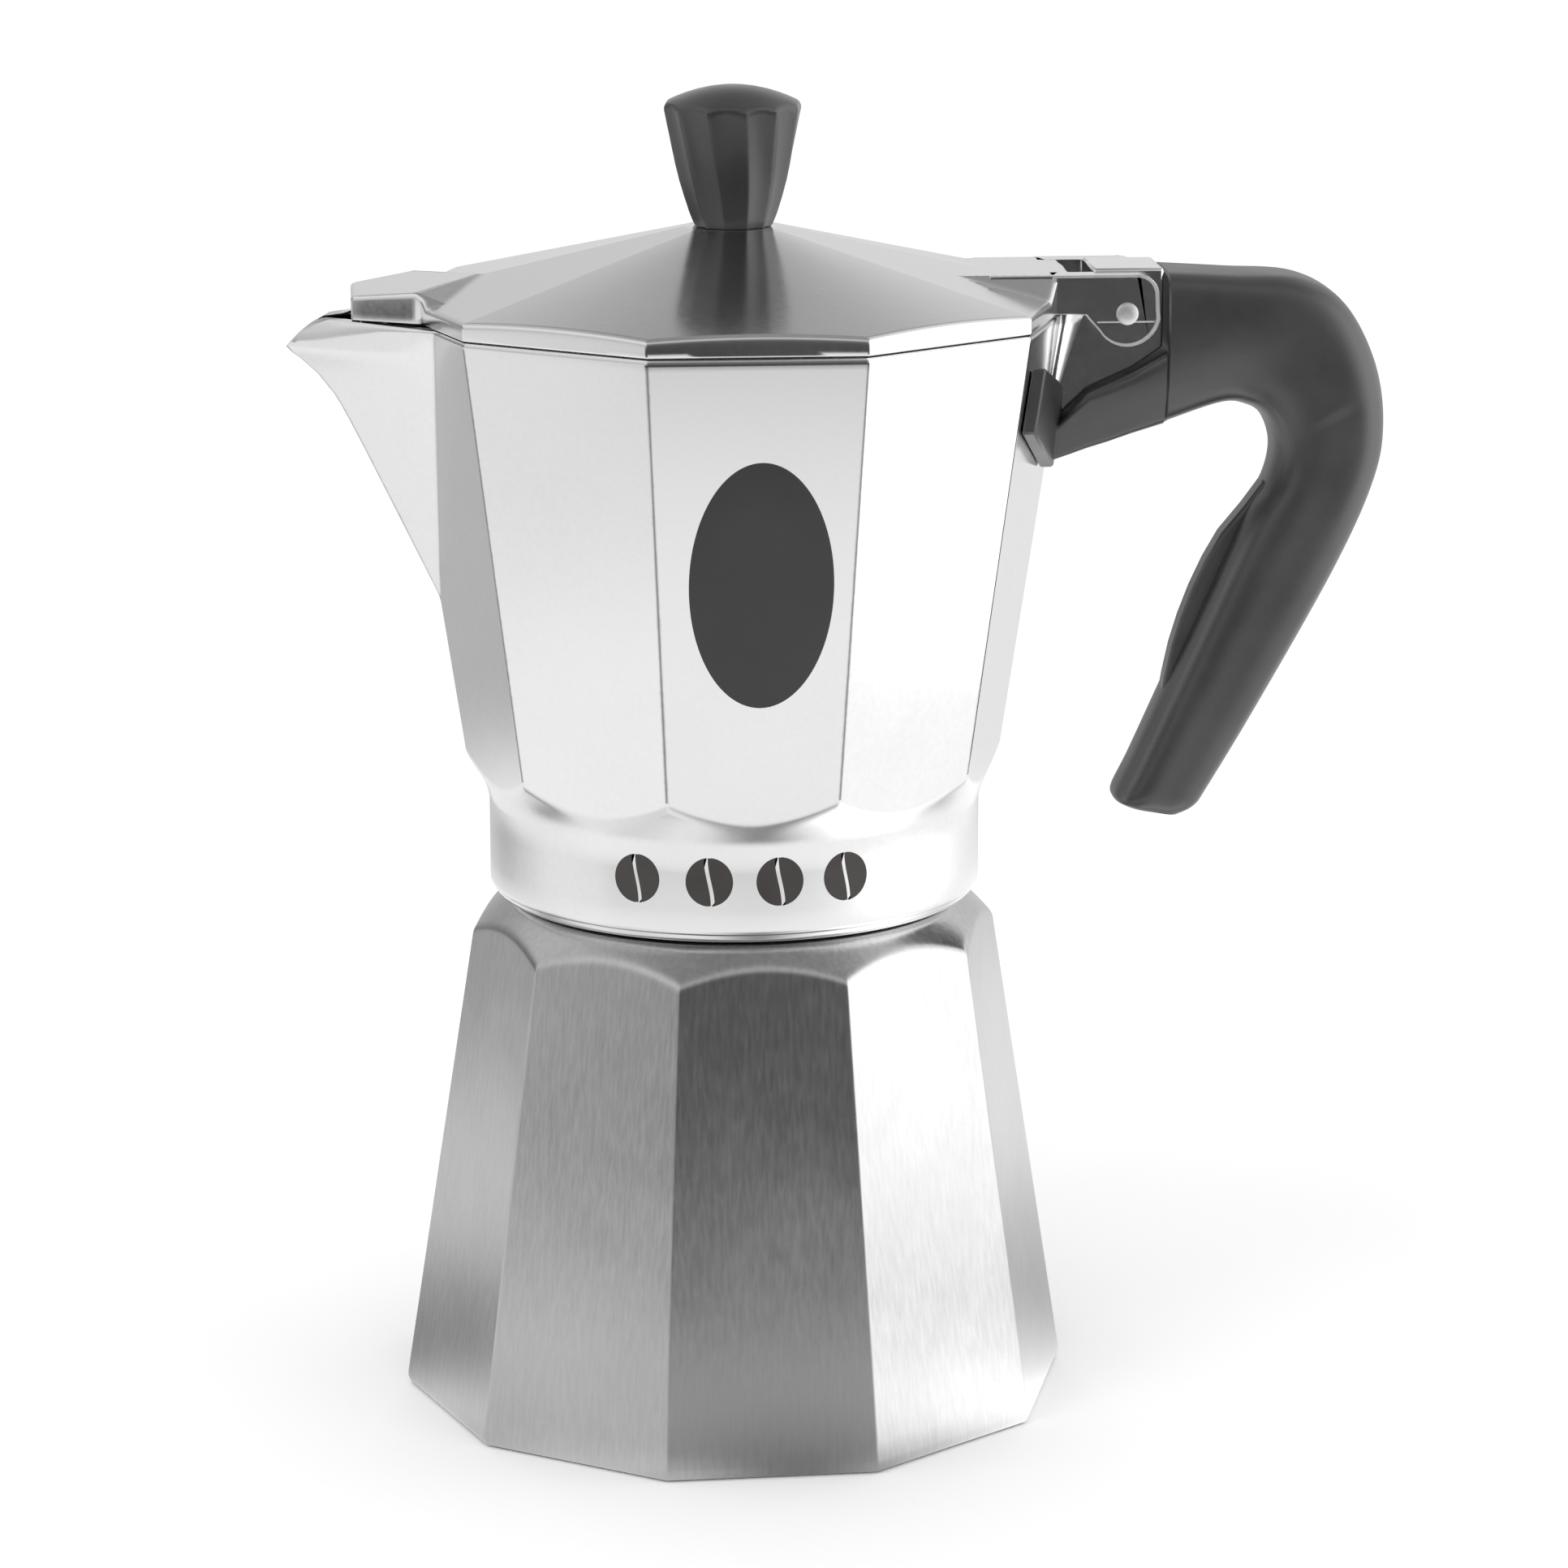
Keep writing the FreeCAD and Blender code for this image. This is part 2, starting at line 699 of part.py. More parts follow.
def handle_foot():
    """The wedge under the lug, with its lower edges bevelled."""
    outline = [
        (46.0, 152.1),
        (46.0, 161.9),
        (51.6, 161.5),
        (56.5, 166.5),
        (63.7, 169.7),
        (HANDLE_FACE, 172.9),
        (74.0, 172.9),
        (74.0, 162.4),
    ]
    block = plate(outline, -HANDLE_HALF, HANDLE_HALF)
    low = [e for e in block.Edges if e.BoundBox.XLength > 27 and e.BoundBox.ZMax < 163]
    return block.makeChamfer(3.0, low)


def handle_saddle():
    """Thin cheeks that lie on the two vessel facets beside the handle."""
    low = 150.0
    inner = facets([(low, body_radius(low) + GAP), (RIM_Z, body_radius(RIM_Z) + GAP)])
    proud = GAP + SADDLE_T
    outer = facets([(low, body_radius(low) + proud), (RIM_Z, body_radius(RIM_Z) + proud)])
    shell = outer.cut(inner)
    outline = [
        (LUG_HALF + 0.4, 154.6),
        (28.0, 163.2),
        (28.0, 173.6),
        (LUG_HALF + 0.4, 167.3),
    ]
    cheeks = []
    for side in (-1, 1):
        points = [V(SADDLE_IN, side * y, z) for y, z in outline]
        face = Part.Face(Part.makePolygon(points + [points[0]]))
        cheeks.append(face.extrude(V(30, 0, 0)).common(shell))
    return cheeks[0].fuse(cheeks[1])


def handle_fin():
    """The thin blade along the inside of the grip."""
    blade = [V(85.4, 0, 149.0), V(79.4, 0, 142.0), V(74.8, 0, 133.0), V(71.6, 0, 123.5), V(69.6, 0, 113.4)]
    curve = Part.BSplineCurve()
    curve.interpolate(blade)
    edges = [curve.toShape()]
    edges.append(Part.makeLine(blade[-1], V(82.0, 0, 125.0)))
    edges.append(Part.makeLine(V(82.0, 0, 125.0), blade[0]))
    face = Part.Face(Part.Wire(Part.__sortEdges__(edges)))
    face.translate(V(0, -FIN_HALF, 0))
    return face.extrude(V(0, 2 * FIN_HALF, 0))


def handle():
    sections = [grip_section(*station) for station in between(GRIP, 2)]
    body = Part.makeLoft(sections, True, True)
    body = body.fuse(handle_foot())
    body = body.fuse(handle_saddle())
    body = body.fuse(handle_fin())
    low = 120.0
    wall = facets([(low, body_radius(low) + GAP), (RIM_Z + 9, body_radius(RIM_Z + 9) + GAP)])
    body = body.cut(wall)
    body = body.cut(Part.makeBox(18, 6.4, 7.4, V(65, -3.2, 173.8)))
    body = body.cut(rod(SCREW_R + 0.1, V(SCREW_X, 0, 155), V(SCREW_X, 0, 182)))
    head_hole = SCREW_HEAD_R + 0.2
    return body.cut(rod(head_hole, V(SCREW_X, 0, 155), V(SCREW_X, 0, SCREW_SEAT)))


def handle_screw():
    low = SCREW_SEAT - SCREW_HEAD_T
    head = rod(SCREW_HEAD_R, V(SCREW_X, 0, low), V(SCREW_X, 0, SCREW_SEAT))
    shank = rod(SCREW_R, V(SCREW_X, 0, SCREW_SEAT), V(SCREW_X, 0, SCREW_END))
    slot = Part.makeBox(8, 0.8, 0.8, V(SCREW_X - 4, -0.4, low))
    return head.fuse(shank).cut(slot)


def badge():
    lean = math.degrees(math.atan(BODY_LEAN * TO_FLAT))
    oval = Part.Ellipse(ORIGIN, BADGE_HALF_H, BADGE_HALF_W).toShape()
    face = Part.Face(Part.Wire(oval))
    disc = face.extrude(V(0, 0, BADGE_T))
    stand = FreeCAD.Rotation(UP, -90).multiply(FreeCAD.Rotation(V(0, 1, 0), 90 + lean))
    reach = body_radius(BADGE_Z) * TO_FLAT
    disc.Placement = FreeCAD.Placement(V(BADGE_X, -reach, BADGE_Z), stand)
    return disc


def bean_marks():
    low = BEAN_Z - BEAN_R - 1
    high = BEAN_Z + BEAN_R + 1
    skin = rod(COLLAR_R + BEAN_T, V(0, 0, low), V(0, 0, high))
    skin = skin.cut(rod(COLLAR_R, V(0, 0, low), V(0, 0, high)))
    marks = []
    for angle in BEAN_ANGLES:
        away = V(math.sin(math.radians(angle)), -math.cos(math.radians(angle)), 0)
        centre = V(0, 0, BEAN_Z)
        marks.append(skin.common(rod(BEAN_R, centre + away * 30, centre + away * 50)))
    return Part.makeCompound(marks)


NODES = {
    "boiler": boiler,
    "valve_body": valve_body,
    "valve_washer": valve_washer,
    "valve_nut": valve_nut,
    "valve_cap": valve_cap,
    "valve_plunger": valve_plunger,
    "valve_spring": valve_spring,
    "funnel": funnel,
    "funnel_stem": funnel_stem,
    "funnel_disc": funnel_disc,
    "gasket": gasket,
    "filter_plate": filter_plate,
    "vessel": vessel,
    "column_cap": column_cap,
    "hinge_pin": hinge_pin,
    "lid": lid,
    "knob": knob,
    "knob_washer": knob_washer,
    "knob_screw": knob_screw,
    "handle": handle,
    "handle_screw": handle_screw,
    "badge": badge,
    "bean_marks": bean_marks,
}

os.makedirs("parts", exist_ok=True)
for name, make in NODES.items():
    shape = make()
    shape.exportStep("parts/" + name + ".step")
    box = shape.BoundBox
    print(name, len(shape.Solids), shape.isValid(), round(shape.Volume),
          [round(v, 1) for v in (box.XMin, box.XMax, box.YMin, box.YMax, box.ZMin, box.ZMax)])
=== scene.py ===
import math
import bmesh
import bpy
import numpy as np
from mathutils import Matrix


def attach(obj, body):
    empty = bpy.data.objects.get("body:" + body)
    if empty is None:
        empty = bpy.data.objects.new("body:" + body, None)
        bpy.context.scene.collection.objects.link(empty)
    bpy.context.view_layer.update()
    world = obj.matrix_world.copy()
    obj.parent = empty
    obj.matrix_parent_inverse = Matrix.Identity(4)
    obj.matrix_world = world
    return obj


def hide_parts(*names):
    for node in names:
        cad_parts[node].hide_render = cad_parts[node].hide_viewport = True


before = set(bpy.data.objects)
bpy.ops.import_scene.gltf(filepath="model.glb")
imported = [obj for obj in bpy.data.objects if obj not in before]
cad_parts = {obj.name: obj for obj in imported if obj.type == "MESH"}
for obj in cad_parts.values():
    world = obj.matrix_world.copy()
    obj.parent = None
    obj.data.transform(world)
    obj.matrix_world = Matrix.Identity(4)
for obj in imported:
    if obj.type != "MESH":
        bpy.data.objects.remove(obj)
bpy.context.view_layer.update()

# Moka pot, its looks. Lengths below are millimetres until a mesh is made.
# +X points to the handle, -X to the spout, -Y is the front with the badge.

MM = 0.001
HALF = math.pi / 10
TO_FLAT = math.cos(HALF)
TURN = 2 * math.pi

BOILER_TWIST = math.radians(2.3)
SHOULDER_Z = 84.0
SHOULDER_R = 37.2
NECK_R = 35.3
NECK_BORE = 31.3
NECK_TOP = 96.0
COLLAR_R = 40.0
COLLAR_LOW = 84.6
COLLAR_TOP = 102.2
COLLAR_BORE = 36.35
SEAT_Z = 99.5
FLOOR_Z = 106.0
RIM_Z = 179.2
WALL = 3.0
SPOUT_LOW = 133.5
SPOUT_HALF = 19.0
SPOUT_RIDGE = [
    (133.5, 47.9), (150.0, 55.8), (160.0, 60.6), (166.0, 63.7), (169.9, 66.7),
    (172.4, 69.4), (174.0, 71.6), (175.4, 71.7), (177.4, 71.0), (179.2, 69.4),
]
LID_LOW = 179.5
LID_EDGE = 182.2
LID_TOP = 192.9
LID_TOP_R = 7.6
LID_R = 54.6
LID_T = 1.5
PIN_X = 62.1
PIN_Z = 179.6
TAB_TOP = 185.8
EAR_IN = 7.35
EAR_OUT = 11.6
HOOD_TIP = (61.1, 7.8)
HOOD_ROOT = (50.6, 13.4)
LIP_START = -64.6
LIP_RUN = 7.1
LIP_DROP = 5.1
THREAD_PITCH = 3.0
BADGE_X = 0.9
BADGE_Z = 143.3
BADGE_HALF_W = 11.2
BADGE_HALF_H = 19.9
BEAN_Z = 94.7
BEAN_TURNS = (-26.7, -9.8, 6.2, 21.9)
GRIP_STEP = 172.9
# How far each wall moves sideways for one millimetre of height.
BOILER_SLOPE = 0.1566
BODY_SLOPE = 0.1505
WAIST_SLOPE = 0.75


def boiler_radius(z):
    return 55.0 - BOILER_SLOPE * (z - 1.6)


def body_radius(z):
    return 44.3 + BODY_SLOPE * (z - 110.9)


# ---------- mesh helpers ----------

def from_vertex(theta, twist=0.0):
    """Angle from the nearest corner of the ten-sided ring, 0 to 18 degrees."""
    return np.abs((theta - twist + HALF) % (2 * HALF) - HALF)


def deca(theta, corner, twist=0.0, round_r=0.9):
    """Radius of a ten-sided ring with rounded corners."""
    beta = from_vertex(theta, twist)
    flat_r = corner * TO_FLAT
    c = (flat_r - round_r) / TO_FLAT
    beta0 = np.arctan2(round_r * math.sin(HALF), c + round_r * TO_FLAT)
    flat = flat_r / np.cos(HALF - beta)
    inside = np.maximum(round_r ** 2 - (c * np.sin(beta)) ** 2, 0)
    arc = c * np.cos(beta) + np.sqrt(inside)
    return np.where(beta < beta0, arc, flat)


def soft_min(a, b, k):
    h = np.maximum(k - np.abs(a - b), 0) / k
    return np.minimum(a, b) - h * h * k / 4


def soft_max(a, b, k):
    return -soft_min(-a, -b, k)


CORNER_STEPS = [0, 0.1, 0.2, 0.3, 0.42, 0.6, 0.9, 1.5, 2.6, 4.2, 6.2, 8.5, 11, 13.5, 16, 18]


def ring_angles(twist=0.0):
    """Angles round the ring, close together at each corner."""
    angles = []
    for k in range(10):
        base = 36 * k
        angles += [base + s for s in CORNER_STEPS]
        angles += [base + 36 - s for s in CORNER_STEPS[-2:0:-1]]
    return np.radians(np.array(angles, float)) + twist


def plain_angles(count):
    return np.arange(count) * TURN / count


def ring(theta, radius, z):
    """One row of points; radius and z may vary round the ring."""
    r = np.broadcast_to(radius, theta.shape)
    h = np.broadcast_to(z, theta.shape)
    return np.stack([r * np.cos(theta), r * np.sin(theta), h], -1)


def finish_mesh(name, points, faces, material, body, nodes=(), slot=None, sharp=32.0):
    mesh = bpy.data.meshes.new(name)
    mesh.from_pydata((np.asarray(points, float) * MM).tolist(), [], faces)
    work = bmesh.new()
    work.from_mesh(mesh)
    bmesh.ops.remove_doubles(work, verts=work.verts, dist=1e-6)
    bmesh.ops.dissolve_degenerate(work, dist=1e-7, edges=work.edges)
    bmesh.ops.recalc_face_normals(work, faces=work.faces)
    for f in work.faces:
        f.smooth = True
    work.to_mesh(mesh)
    work.free()
    mesh.set_sharp_from_angle(angle=math.radians(sharp))
    mesh.materials.append(material)
    piece = bpy.data.objects.new(name, mesh)
    bpy.context.scene.collection.objects.link(piece)
    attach(piece, body)
    if nodes:
        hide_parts(*nodes)
    return piece


def grid_faces(rows, cols, loop_rows=False):
    faces = []
    last = rows if loop_rows else rows - 1
    for i in range(last):
        a = i * cols
        b = ((i + 1) % rows) * cols
        for j in range(cols):
            k = (j + 1) % cols
            faces.append((a + j, a + k, b + k, b + j))
    return faces


def closed_rings(rows):
    """Points and faces of a closed skin through rings; each end is closed to a point."""
    cols = len(rows[0])
    first = len(rows) * cols
    points = np.concatenate(rows + [[rows[0].mean(0)], [rows[-1].mean(0)]])
    faces = grid_faces(len(rows), cols)
    top = first - cols
    for j in range(cols):
        k = (j + 1) % cols
        faces.append((j, k, first))
        faces.append((top + j, top + k, first + 1))
    return points, faces


def plate_faces(n):
    """Faces of a plate whose points are its first outline, then its second."""
    faces = [tuple(range(n)), tuple(range(2 * n - 1, n - 1, -1))]
    faces += [(k, (k + 1) % n, n + (k + 1) % n, n + k) for k in range(n)]
    return faces


def prism(name, outline, low, high, axis, bevel, material, body, segments=2, **more):
    """A plate with bevelled edges. The outline lies across the axis, x or y or z."""
    points = []
    for h in (low, high):
        for u, v in outline:
            points.append({"y": (u, h, v), "z": (u, v, h), "x": (h, u, v)}[axis])
    piece = finish_mesh(name, points, plate_faces(len(outline)), material, body, **more)
    edge = piece.modifiers.new("edge", "BEVEL")
    edge.width = bevel * MM
    edge.segments = segments
    edge.limit_method = "ANGLE"
    edge.angle_limit = math.radians(28)
    return piece


def arc(cx, cz, r, start, end, steps):
    out = []
    for k in range(steps + 1):
        t = math.radians(start + (end - start) * k / steps)
        out.append((cx + r * math.cos(t), cz + r * math.sin(t)))
    return out


# ---------- materials ----------

class Paint:
    """A small helper that builds one procedural material."""

    def __init__(self, name):
        self.material = bpy.data.materials.new(name)
        self.material.use_nodes = True
        self.tree = self.material.node_tree
        self.shader = self.tree.nodes["Principled BSDF"]
        self.place = self.tree.nodes.new("ShaderNodeTexCoord").outputs["Object"]

    def set(self, **values):
        for key, value in values.items():
            self.shader.inputs[key.replace("_", " ")].default_value = value

    def noise(self, scale, detail=4.0, rough=0.55, stretch=(1, 1, 1)):
        mapping = self.tree.nodes.new("ShaderNodeMapping")
        mapping.inputs["Scale"].default_value = stretch
        self.tree.links.new(self.place, mapping.inputs["Vector"])
        node = self.tree.nodes.new("ShaderNodeTexNoise")
        node.inputs["Scale"].default_value = scale
        node.inputs["Detail"].default_value = detail
        node.inputs["Roughness"].default_value = rough
        self.tree.links.new(mapping.outputs["Vector"], node.inputs["Vector"])
        return node.outputs["Fac"]

    def spread(self, source, low, high, start=0.3, end=0.7):
        node = self.tree.nodes.new("ShaderNodeMapRange")
        node.inputs["From Min"].default_value = start
        node.inputs["From Max"].default_value = end
        node.inputs["To Min"].default_value = low
        node.inputs["To Max"].default_value = high
        self.tree.links.new(source, node.inputs["Value"])
        return node.outputs["Result"]

    def maths(self, kind, a, b):
        node = self.tree.nodes.new("ShaderNodeMath")
        node.operation = kind
        for slot, value in zip(node.inputs, (a, b)):
            if isinstance(value, float):
                slot.default_value = value
            else:
                self.tree.links.new(value, slot)
        return node.outputs["Value"]

    def ramp(self, source, stops):
        node = self.tree.nodes.new("ShaderNodeValToRGB")
        ramp = node.color_ramp
        while len(ramp.elements) < len(stops):
            ramp.elements.new(0.5)
        for element, (place, colour) in zip(ramp.elements, stops):
            element.position = place
            element.color = (*colour, 1)
        self.tree.links.new(source, node.inputs["Fac"])
        return node.outputs["Color"]

    def bump(self, source, strength, distance, below=None):
        node = self.tree.nodes.new("ShaderNodeBump")
        node.inputs["Strength"].default_value = strength
        node.inputs["Distance"].default_value = distance
        self.tree.links.new(source, node.inputs["Height"])
        if below is not None:
            self.tree.links.new(below, node.inputs["Normal"])
        return node.outputs["Normal"]

    def link(self, source, name):
        self.tree.links.new(source, self.shader.inputs[name])


def grey(v):
    return (v, v, v)


# The thin dark line painted along each long edge of the vessel: a painted dark reflection, not the
# metal's colour.
EDGE_REFLECTION_TONE = grey(0.22)
EDGE_REFLECTION_HALF = 0.55
CREASE_TOP = 108.0


def metal(name, low, high, rough, grain, grain_stretch, grain_bump, wave=0.0, paint_edge_reflection=False):
    """Bare metal: mottled tone, grain, fine bump, slow waves and painted dark edge lines, which are
    a painted reflection.
    """
    p = Paint(name)
    p.set(Metallic=1.0)
    blotch = p.noise(38.0, 5.0, 0.6)
    streak = p.noise(grain, 3.0, 0.6, grain_stretch)
    mixed = p.maths("ADD", p.maths("MULTIPLY", blotch, 0.55), p.maths("MULTIPLY", streak, 0.45))
    toned = mixed
    if paint_edge_reflection:
        # Darkens the colour along the marked edges: a painted dark reflection.
        painted_edge_reflection = p.tree.nodes.new("ShaderNodeAttribute")
        painted_edge_reflection.attribute_name = "painted_edge_reflection"
        toned = p.maths("MULTIPLY", mixed, p.maths("SUBTRACT", 1.0, painted_edge_reflection.outputs["Fac"]))
    # The ramp's darkest stop is the tone of the painted dark edge reflection.
    p.link(p.ramp(toned, [(0.0, EDGE_REFLECTION_TONE), (0.3, low), (0.7, high)]), "Base Color")
    p.link(p.spread(mixed, rough[0], rough[1]), "Roughness")
    normal = p.bump(streak, grain_bump, 0.00004)
    if wave:
        normal = p.bump(p.noise(26.0, 1.0, 0.4), wave, 0.0006, normal)
    p.link(normal, "Normal")
    return p.material


def plastic(name, low, high, rough, grain, bump, shine=0.5):
    """Moulded plastic or print: broad tone, fine grain."""
    p = Paint(name)
    p.set(Specular_IOR_Level=shine)
    fine = p.noise(grain, 6.0, 0.65)
    broad = p.noise(55.0, 4.0, 0.6)
    p.link(p.ramp(broad, [(0.35, low), (0.68, high)]), "Base Color")
    p.link(p.spread(broad, rough[0], rough[1]), "Roughness")
    p.link(p.bump(fine, bump, 0.00006), "Normal")
    return p.material


UPRIGHT = (1.0, 1.0, 0.045)
EVEN = (1.0, 1.0, 1.0)
satin = metal("boiler_satin", grey(0.50), grey(0.64), (0.19, 0.27), 1500.0, UPRIGHT, 0.32)
# The vessel's polish also paints a dark reflection along its long edges.
polish = metal("vessel_polish", grey(0.86), grey(0.92), (0.10, 0.17), 900.0, EVEN, 0.05, 0.06, True)
lid_polish = metal("lid_polish", grey(0.84), grey(0.90), (0.13, 0.20), 900.0, EVEN, 0.07, 0.05)
cast = metal("cast_inside", grey(0.62), grey(0.76), (0.30, 0.45), 700.0, EVEN, 0.5)
spun = metal("spun_sheet", grey(0.70), grey(0.82), (0.22, 0.34), 1200.0, (1.0, 1.0, 6.0), 0.2)
brass = metal("valve_brass", (0.62, 0.42, 0.16), (0.78, 0.56, 0.25), (0.2, 0.34), 800.0, EVEN, 0.2)
steel = metal("bright_steel", grey(0.56), grey(0.68), (0.16, 0.28), 900.0, EVEN, 0.15)
black = plastic("handle_black", grey(0.030), grey(0.043), (0.27, 0.38), 2600.0, 0.35, 0.85)
knob_black = plastic("knob_black", grey(0.026), grey(0.038), (0.2, 0.3), 2600.0, 0.15, 0.8)
rivet = metal("rivet_soft", grey(0.80), grey(0.92), (0.42, 0.55), 1200.0, EVEN, 0.3)
badge_dark = plastic("badge_dark", grey(0.028), grey(0.034), (0.4, 0.5), 1500.0, 0.12)
bean_dark = plastic("bean_brown", (0.036, 0.031, 0.029), (0.052, 0.046, 0.042), (0.45, 0.6),
                    1200.0, 0.3)
rubber = plastic("seal_rubber", (0.6, 0.58, 0.54), (0.7, 0.68, 0.64), (0.5, 0.65), 1500.0, 0.3)


# ---------- boiler ----------

def make_boiler():
    theta = ring_angles(BOILER_TWIST)
    share = deca(theta, 1.0, BOILER_TWIST, 0.018)
    cone = SHOULDER_R + SHOULDER_Z
    crease = (cone - share * boiler_radius(0.0)) / (1 - BOILER_SLOPE * share)

    def skin(z):
        flat = deca(theta, boiler_radius(z), BOILER_TWIST, 0.8)
        return soft_min(flat, cone - z, 0.8)

    rows = [ring(theta, r, 0.9) for r in (16.0, 34.0, 44.0)]
    rows.append(ring(theta, 46.5, 0.6))
    rows.append(ring(theta, 48.0, 0.0))
    for z, r in [(0.0, 53.2), (0.08, 53.8), (0.35, 54.35), (0.8, 54.7), (1.4, 54.92), (2.2, 54.9)]:
        rows.append(ring(theta, deca(theta, r, BOILER_TWIST, 0.8), z))
    for t in np.linspace(0.04, 1, 14):
        z = 2.2 + (crease - 3.0 - 2.2) * t
        rows.append(ring(theta, skin(z), z))
    for off in (-2.0, -1.2, -0.8, -0.5, -0.3, -0.15, 0, 0.15, 0.3, 0.5, 0.8, 1.2):
        z = crease + off
        rows.append(ring(theta, skin(z), z))
    for t in (0.35, 0.7, 1.0):
        z = crease + 1.2 + (83.7 - crease - 1.2) * t
        rows.append(ring(theta, cone - z, z))
    rows.append(ring(theta, 37.0, 84.0))
    rows.append(ring(theta, 35.9, 84.0))
    rows.append(ring(theta, NECK_R, 84.4))
    rows.append(ring(theta, NECK_R, 85.4))
    turns = (theta - theta[0]) / TURN
    for z in np.arange(85.8, 95.3, 0.25):
        along = (z - 86.5) / THREAD_PITCH - turns
        wave = np.maximum(0, 1 - np.abs((along + 0.5) % 1.0 - 0.5) * 3.75)
        fade = np.clip(np.minimum(along + 0.3, 2.9 - along) * 4, 0, 1)
        rows.append(ring(theta, NECK_R + 0.7 * np.minimum(wave * 1.4, 1) * fade, z))
    rows.append(ring(theta, NECK_R, 95.6))
    rows.append(ring(theta, NECK_R - 0.15, 95.88))
    rows.append(ring(theta, NECK_R - 0.45, NECK_TOP))
    rows.append(ring(theta, NECK_BORE + 0.4, NECK_TOP))
    for z, r in [(95.7, NECK_BORE), (84.0, NECK_BORE), (83.0, 31.7), (78.5, 37.2), (76.0, 37.9),
                 (40.0, 43.6), (8.0, 48.5), (5.5, 48.3), (4.2, 47.4), (3.5, 45.8), (3.5, 20.0),
                 (3.5, 4.0)]:
        rows.append(ring(theta, r, z))
    points, faces = closed_rings(rows)
    piece = finish_mesh("boiler_shell", points, faces, satin, "boiler_body", ["boiler"], "boiler")
    piece.data.materials.append(cast)
    for f in piece.data.polygons:
        x, y, z = f.center / MM
        if z > 3 and math.hypot(x, y) < max(NECK_BORE + 0.5, tank_radius(z)):
            f.material_index = 1


def tank_radius(z):
    """Just outside the inner wall, to tell inner faces from outer ones."""
    return 49.2 - 0.155 * (z - 6.0) if z < 78 else 33.5


# ---------- vessel ----------

def spout_half(z):
    return 0.4 + SPOUT_HALF * (z - SPOUT_LOW) / (RIM_Z - SPOUT_LOW)


def ridge_reach(z):
    zs = [a for a, b in SPOUT_RIDGE]
    rs = [b for a, b in SPOUT_RIDGE]
    return float(np.interp(z, zs, rs))


def lip_height(x):
    """The rim falls away towards the tip of the spout."""
    t = np.clip((LIP_START - x) / LIP_RUN, 0, 1)
    return RIM_Z - LIP_DROP * t ** 1.5


def from_spout(theta):
    """Angle away from -X, 0 to 180 degrees."""
    return np.abs(theta % TURN - math.pi)


def spout_plan(beta, reach, corner, half):
    """Radius of the spout's straight side at an angle from the -X axis."""
    root = corner - half * math.tan(HALF)
    return reach * half / (half * np.cos(beta) + (reach - root) * np.sin(beta))


def vessel_angles(z):
    """Ring angles whose steps follow the crease beside the spout."""
    half = max(spout_half(z), 0.9)
    root = body_radius(z) - half * math.tan(HALF)
    crease = max(math.degrees(math.atan2(half, root)), 2.4)
    near = [0, 0.12, 0.25, 0.4, 0.6, 0.9, 1.3]
    ramp = [1.3 + (crease - 0.9 - 1.3) * t for t in (0.12, 0.25, 0.4, 0.55, 0.7, 0.85, 1.0)]
    at = [crease + s for s in (-0.6, -0.35, -0.15, 0, 0.15, 0.35, 0.6, 0.9)]
    far_start = crease + 0.9
    far = [far_start + (33.0 - far_start) * t for t in (0.2, 0.4, 0.6, 0.8, 1.0)]
    tail = [36 - s for s in (2.0, 1.2, 0.8, 0.55, 0.42, 0.3, 0.2, 0.1)]
    side = near + ramp + at + far + tail
    angles = [180 + s for s in side]
    for k in range(6, 14):
        base = 36 * k
        angles += [base + s for s in CORNER_STEPS]
        angles += [base + 36 - s for s in CORNER_STEPS[-2:0:-1]]
    angles += [540 - s for s in side[:0:-1]]
    angles.insert(angles.index(540 - side[-1]), 504.0)
    return np.radians(np.array(angles, float))


def body_skin(theta, z, inset=0.0, round_r=1.3):
    corner = body_radius(z) - inset
    return deca(theta, corner, 0.0, round_r)


def with_spout(theta, base, z, inset=0.0, short=0.0):
    if z < SPOUT_LOW + inset * 2.5:
        return base
    beta = from_spout(theta)
    half = max(spout_half(z) - inset * 0.66, 0.3)
    reach = ridge_reach(z) - short
    side = spout_plan(beta, reach, body_radius(z) - inset, half)
    side = soft_min(side, reach / np.cos(beta) - 0.25 * (1 - np.cos(beta)), 0.6)
    side = np.where(beta < math.radians(40), side, 0)
    return soft_max(base, side, 0.35)


def lip(points):
    points[:, 2] = np.minimum(points[:, 2], lip_height(points[:, 0]))
    return points


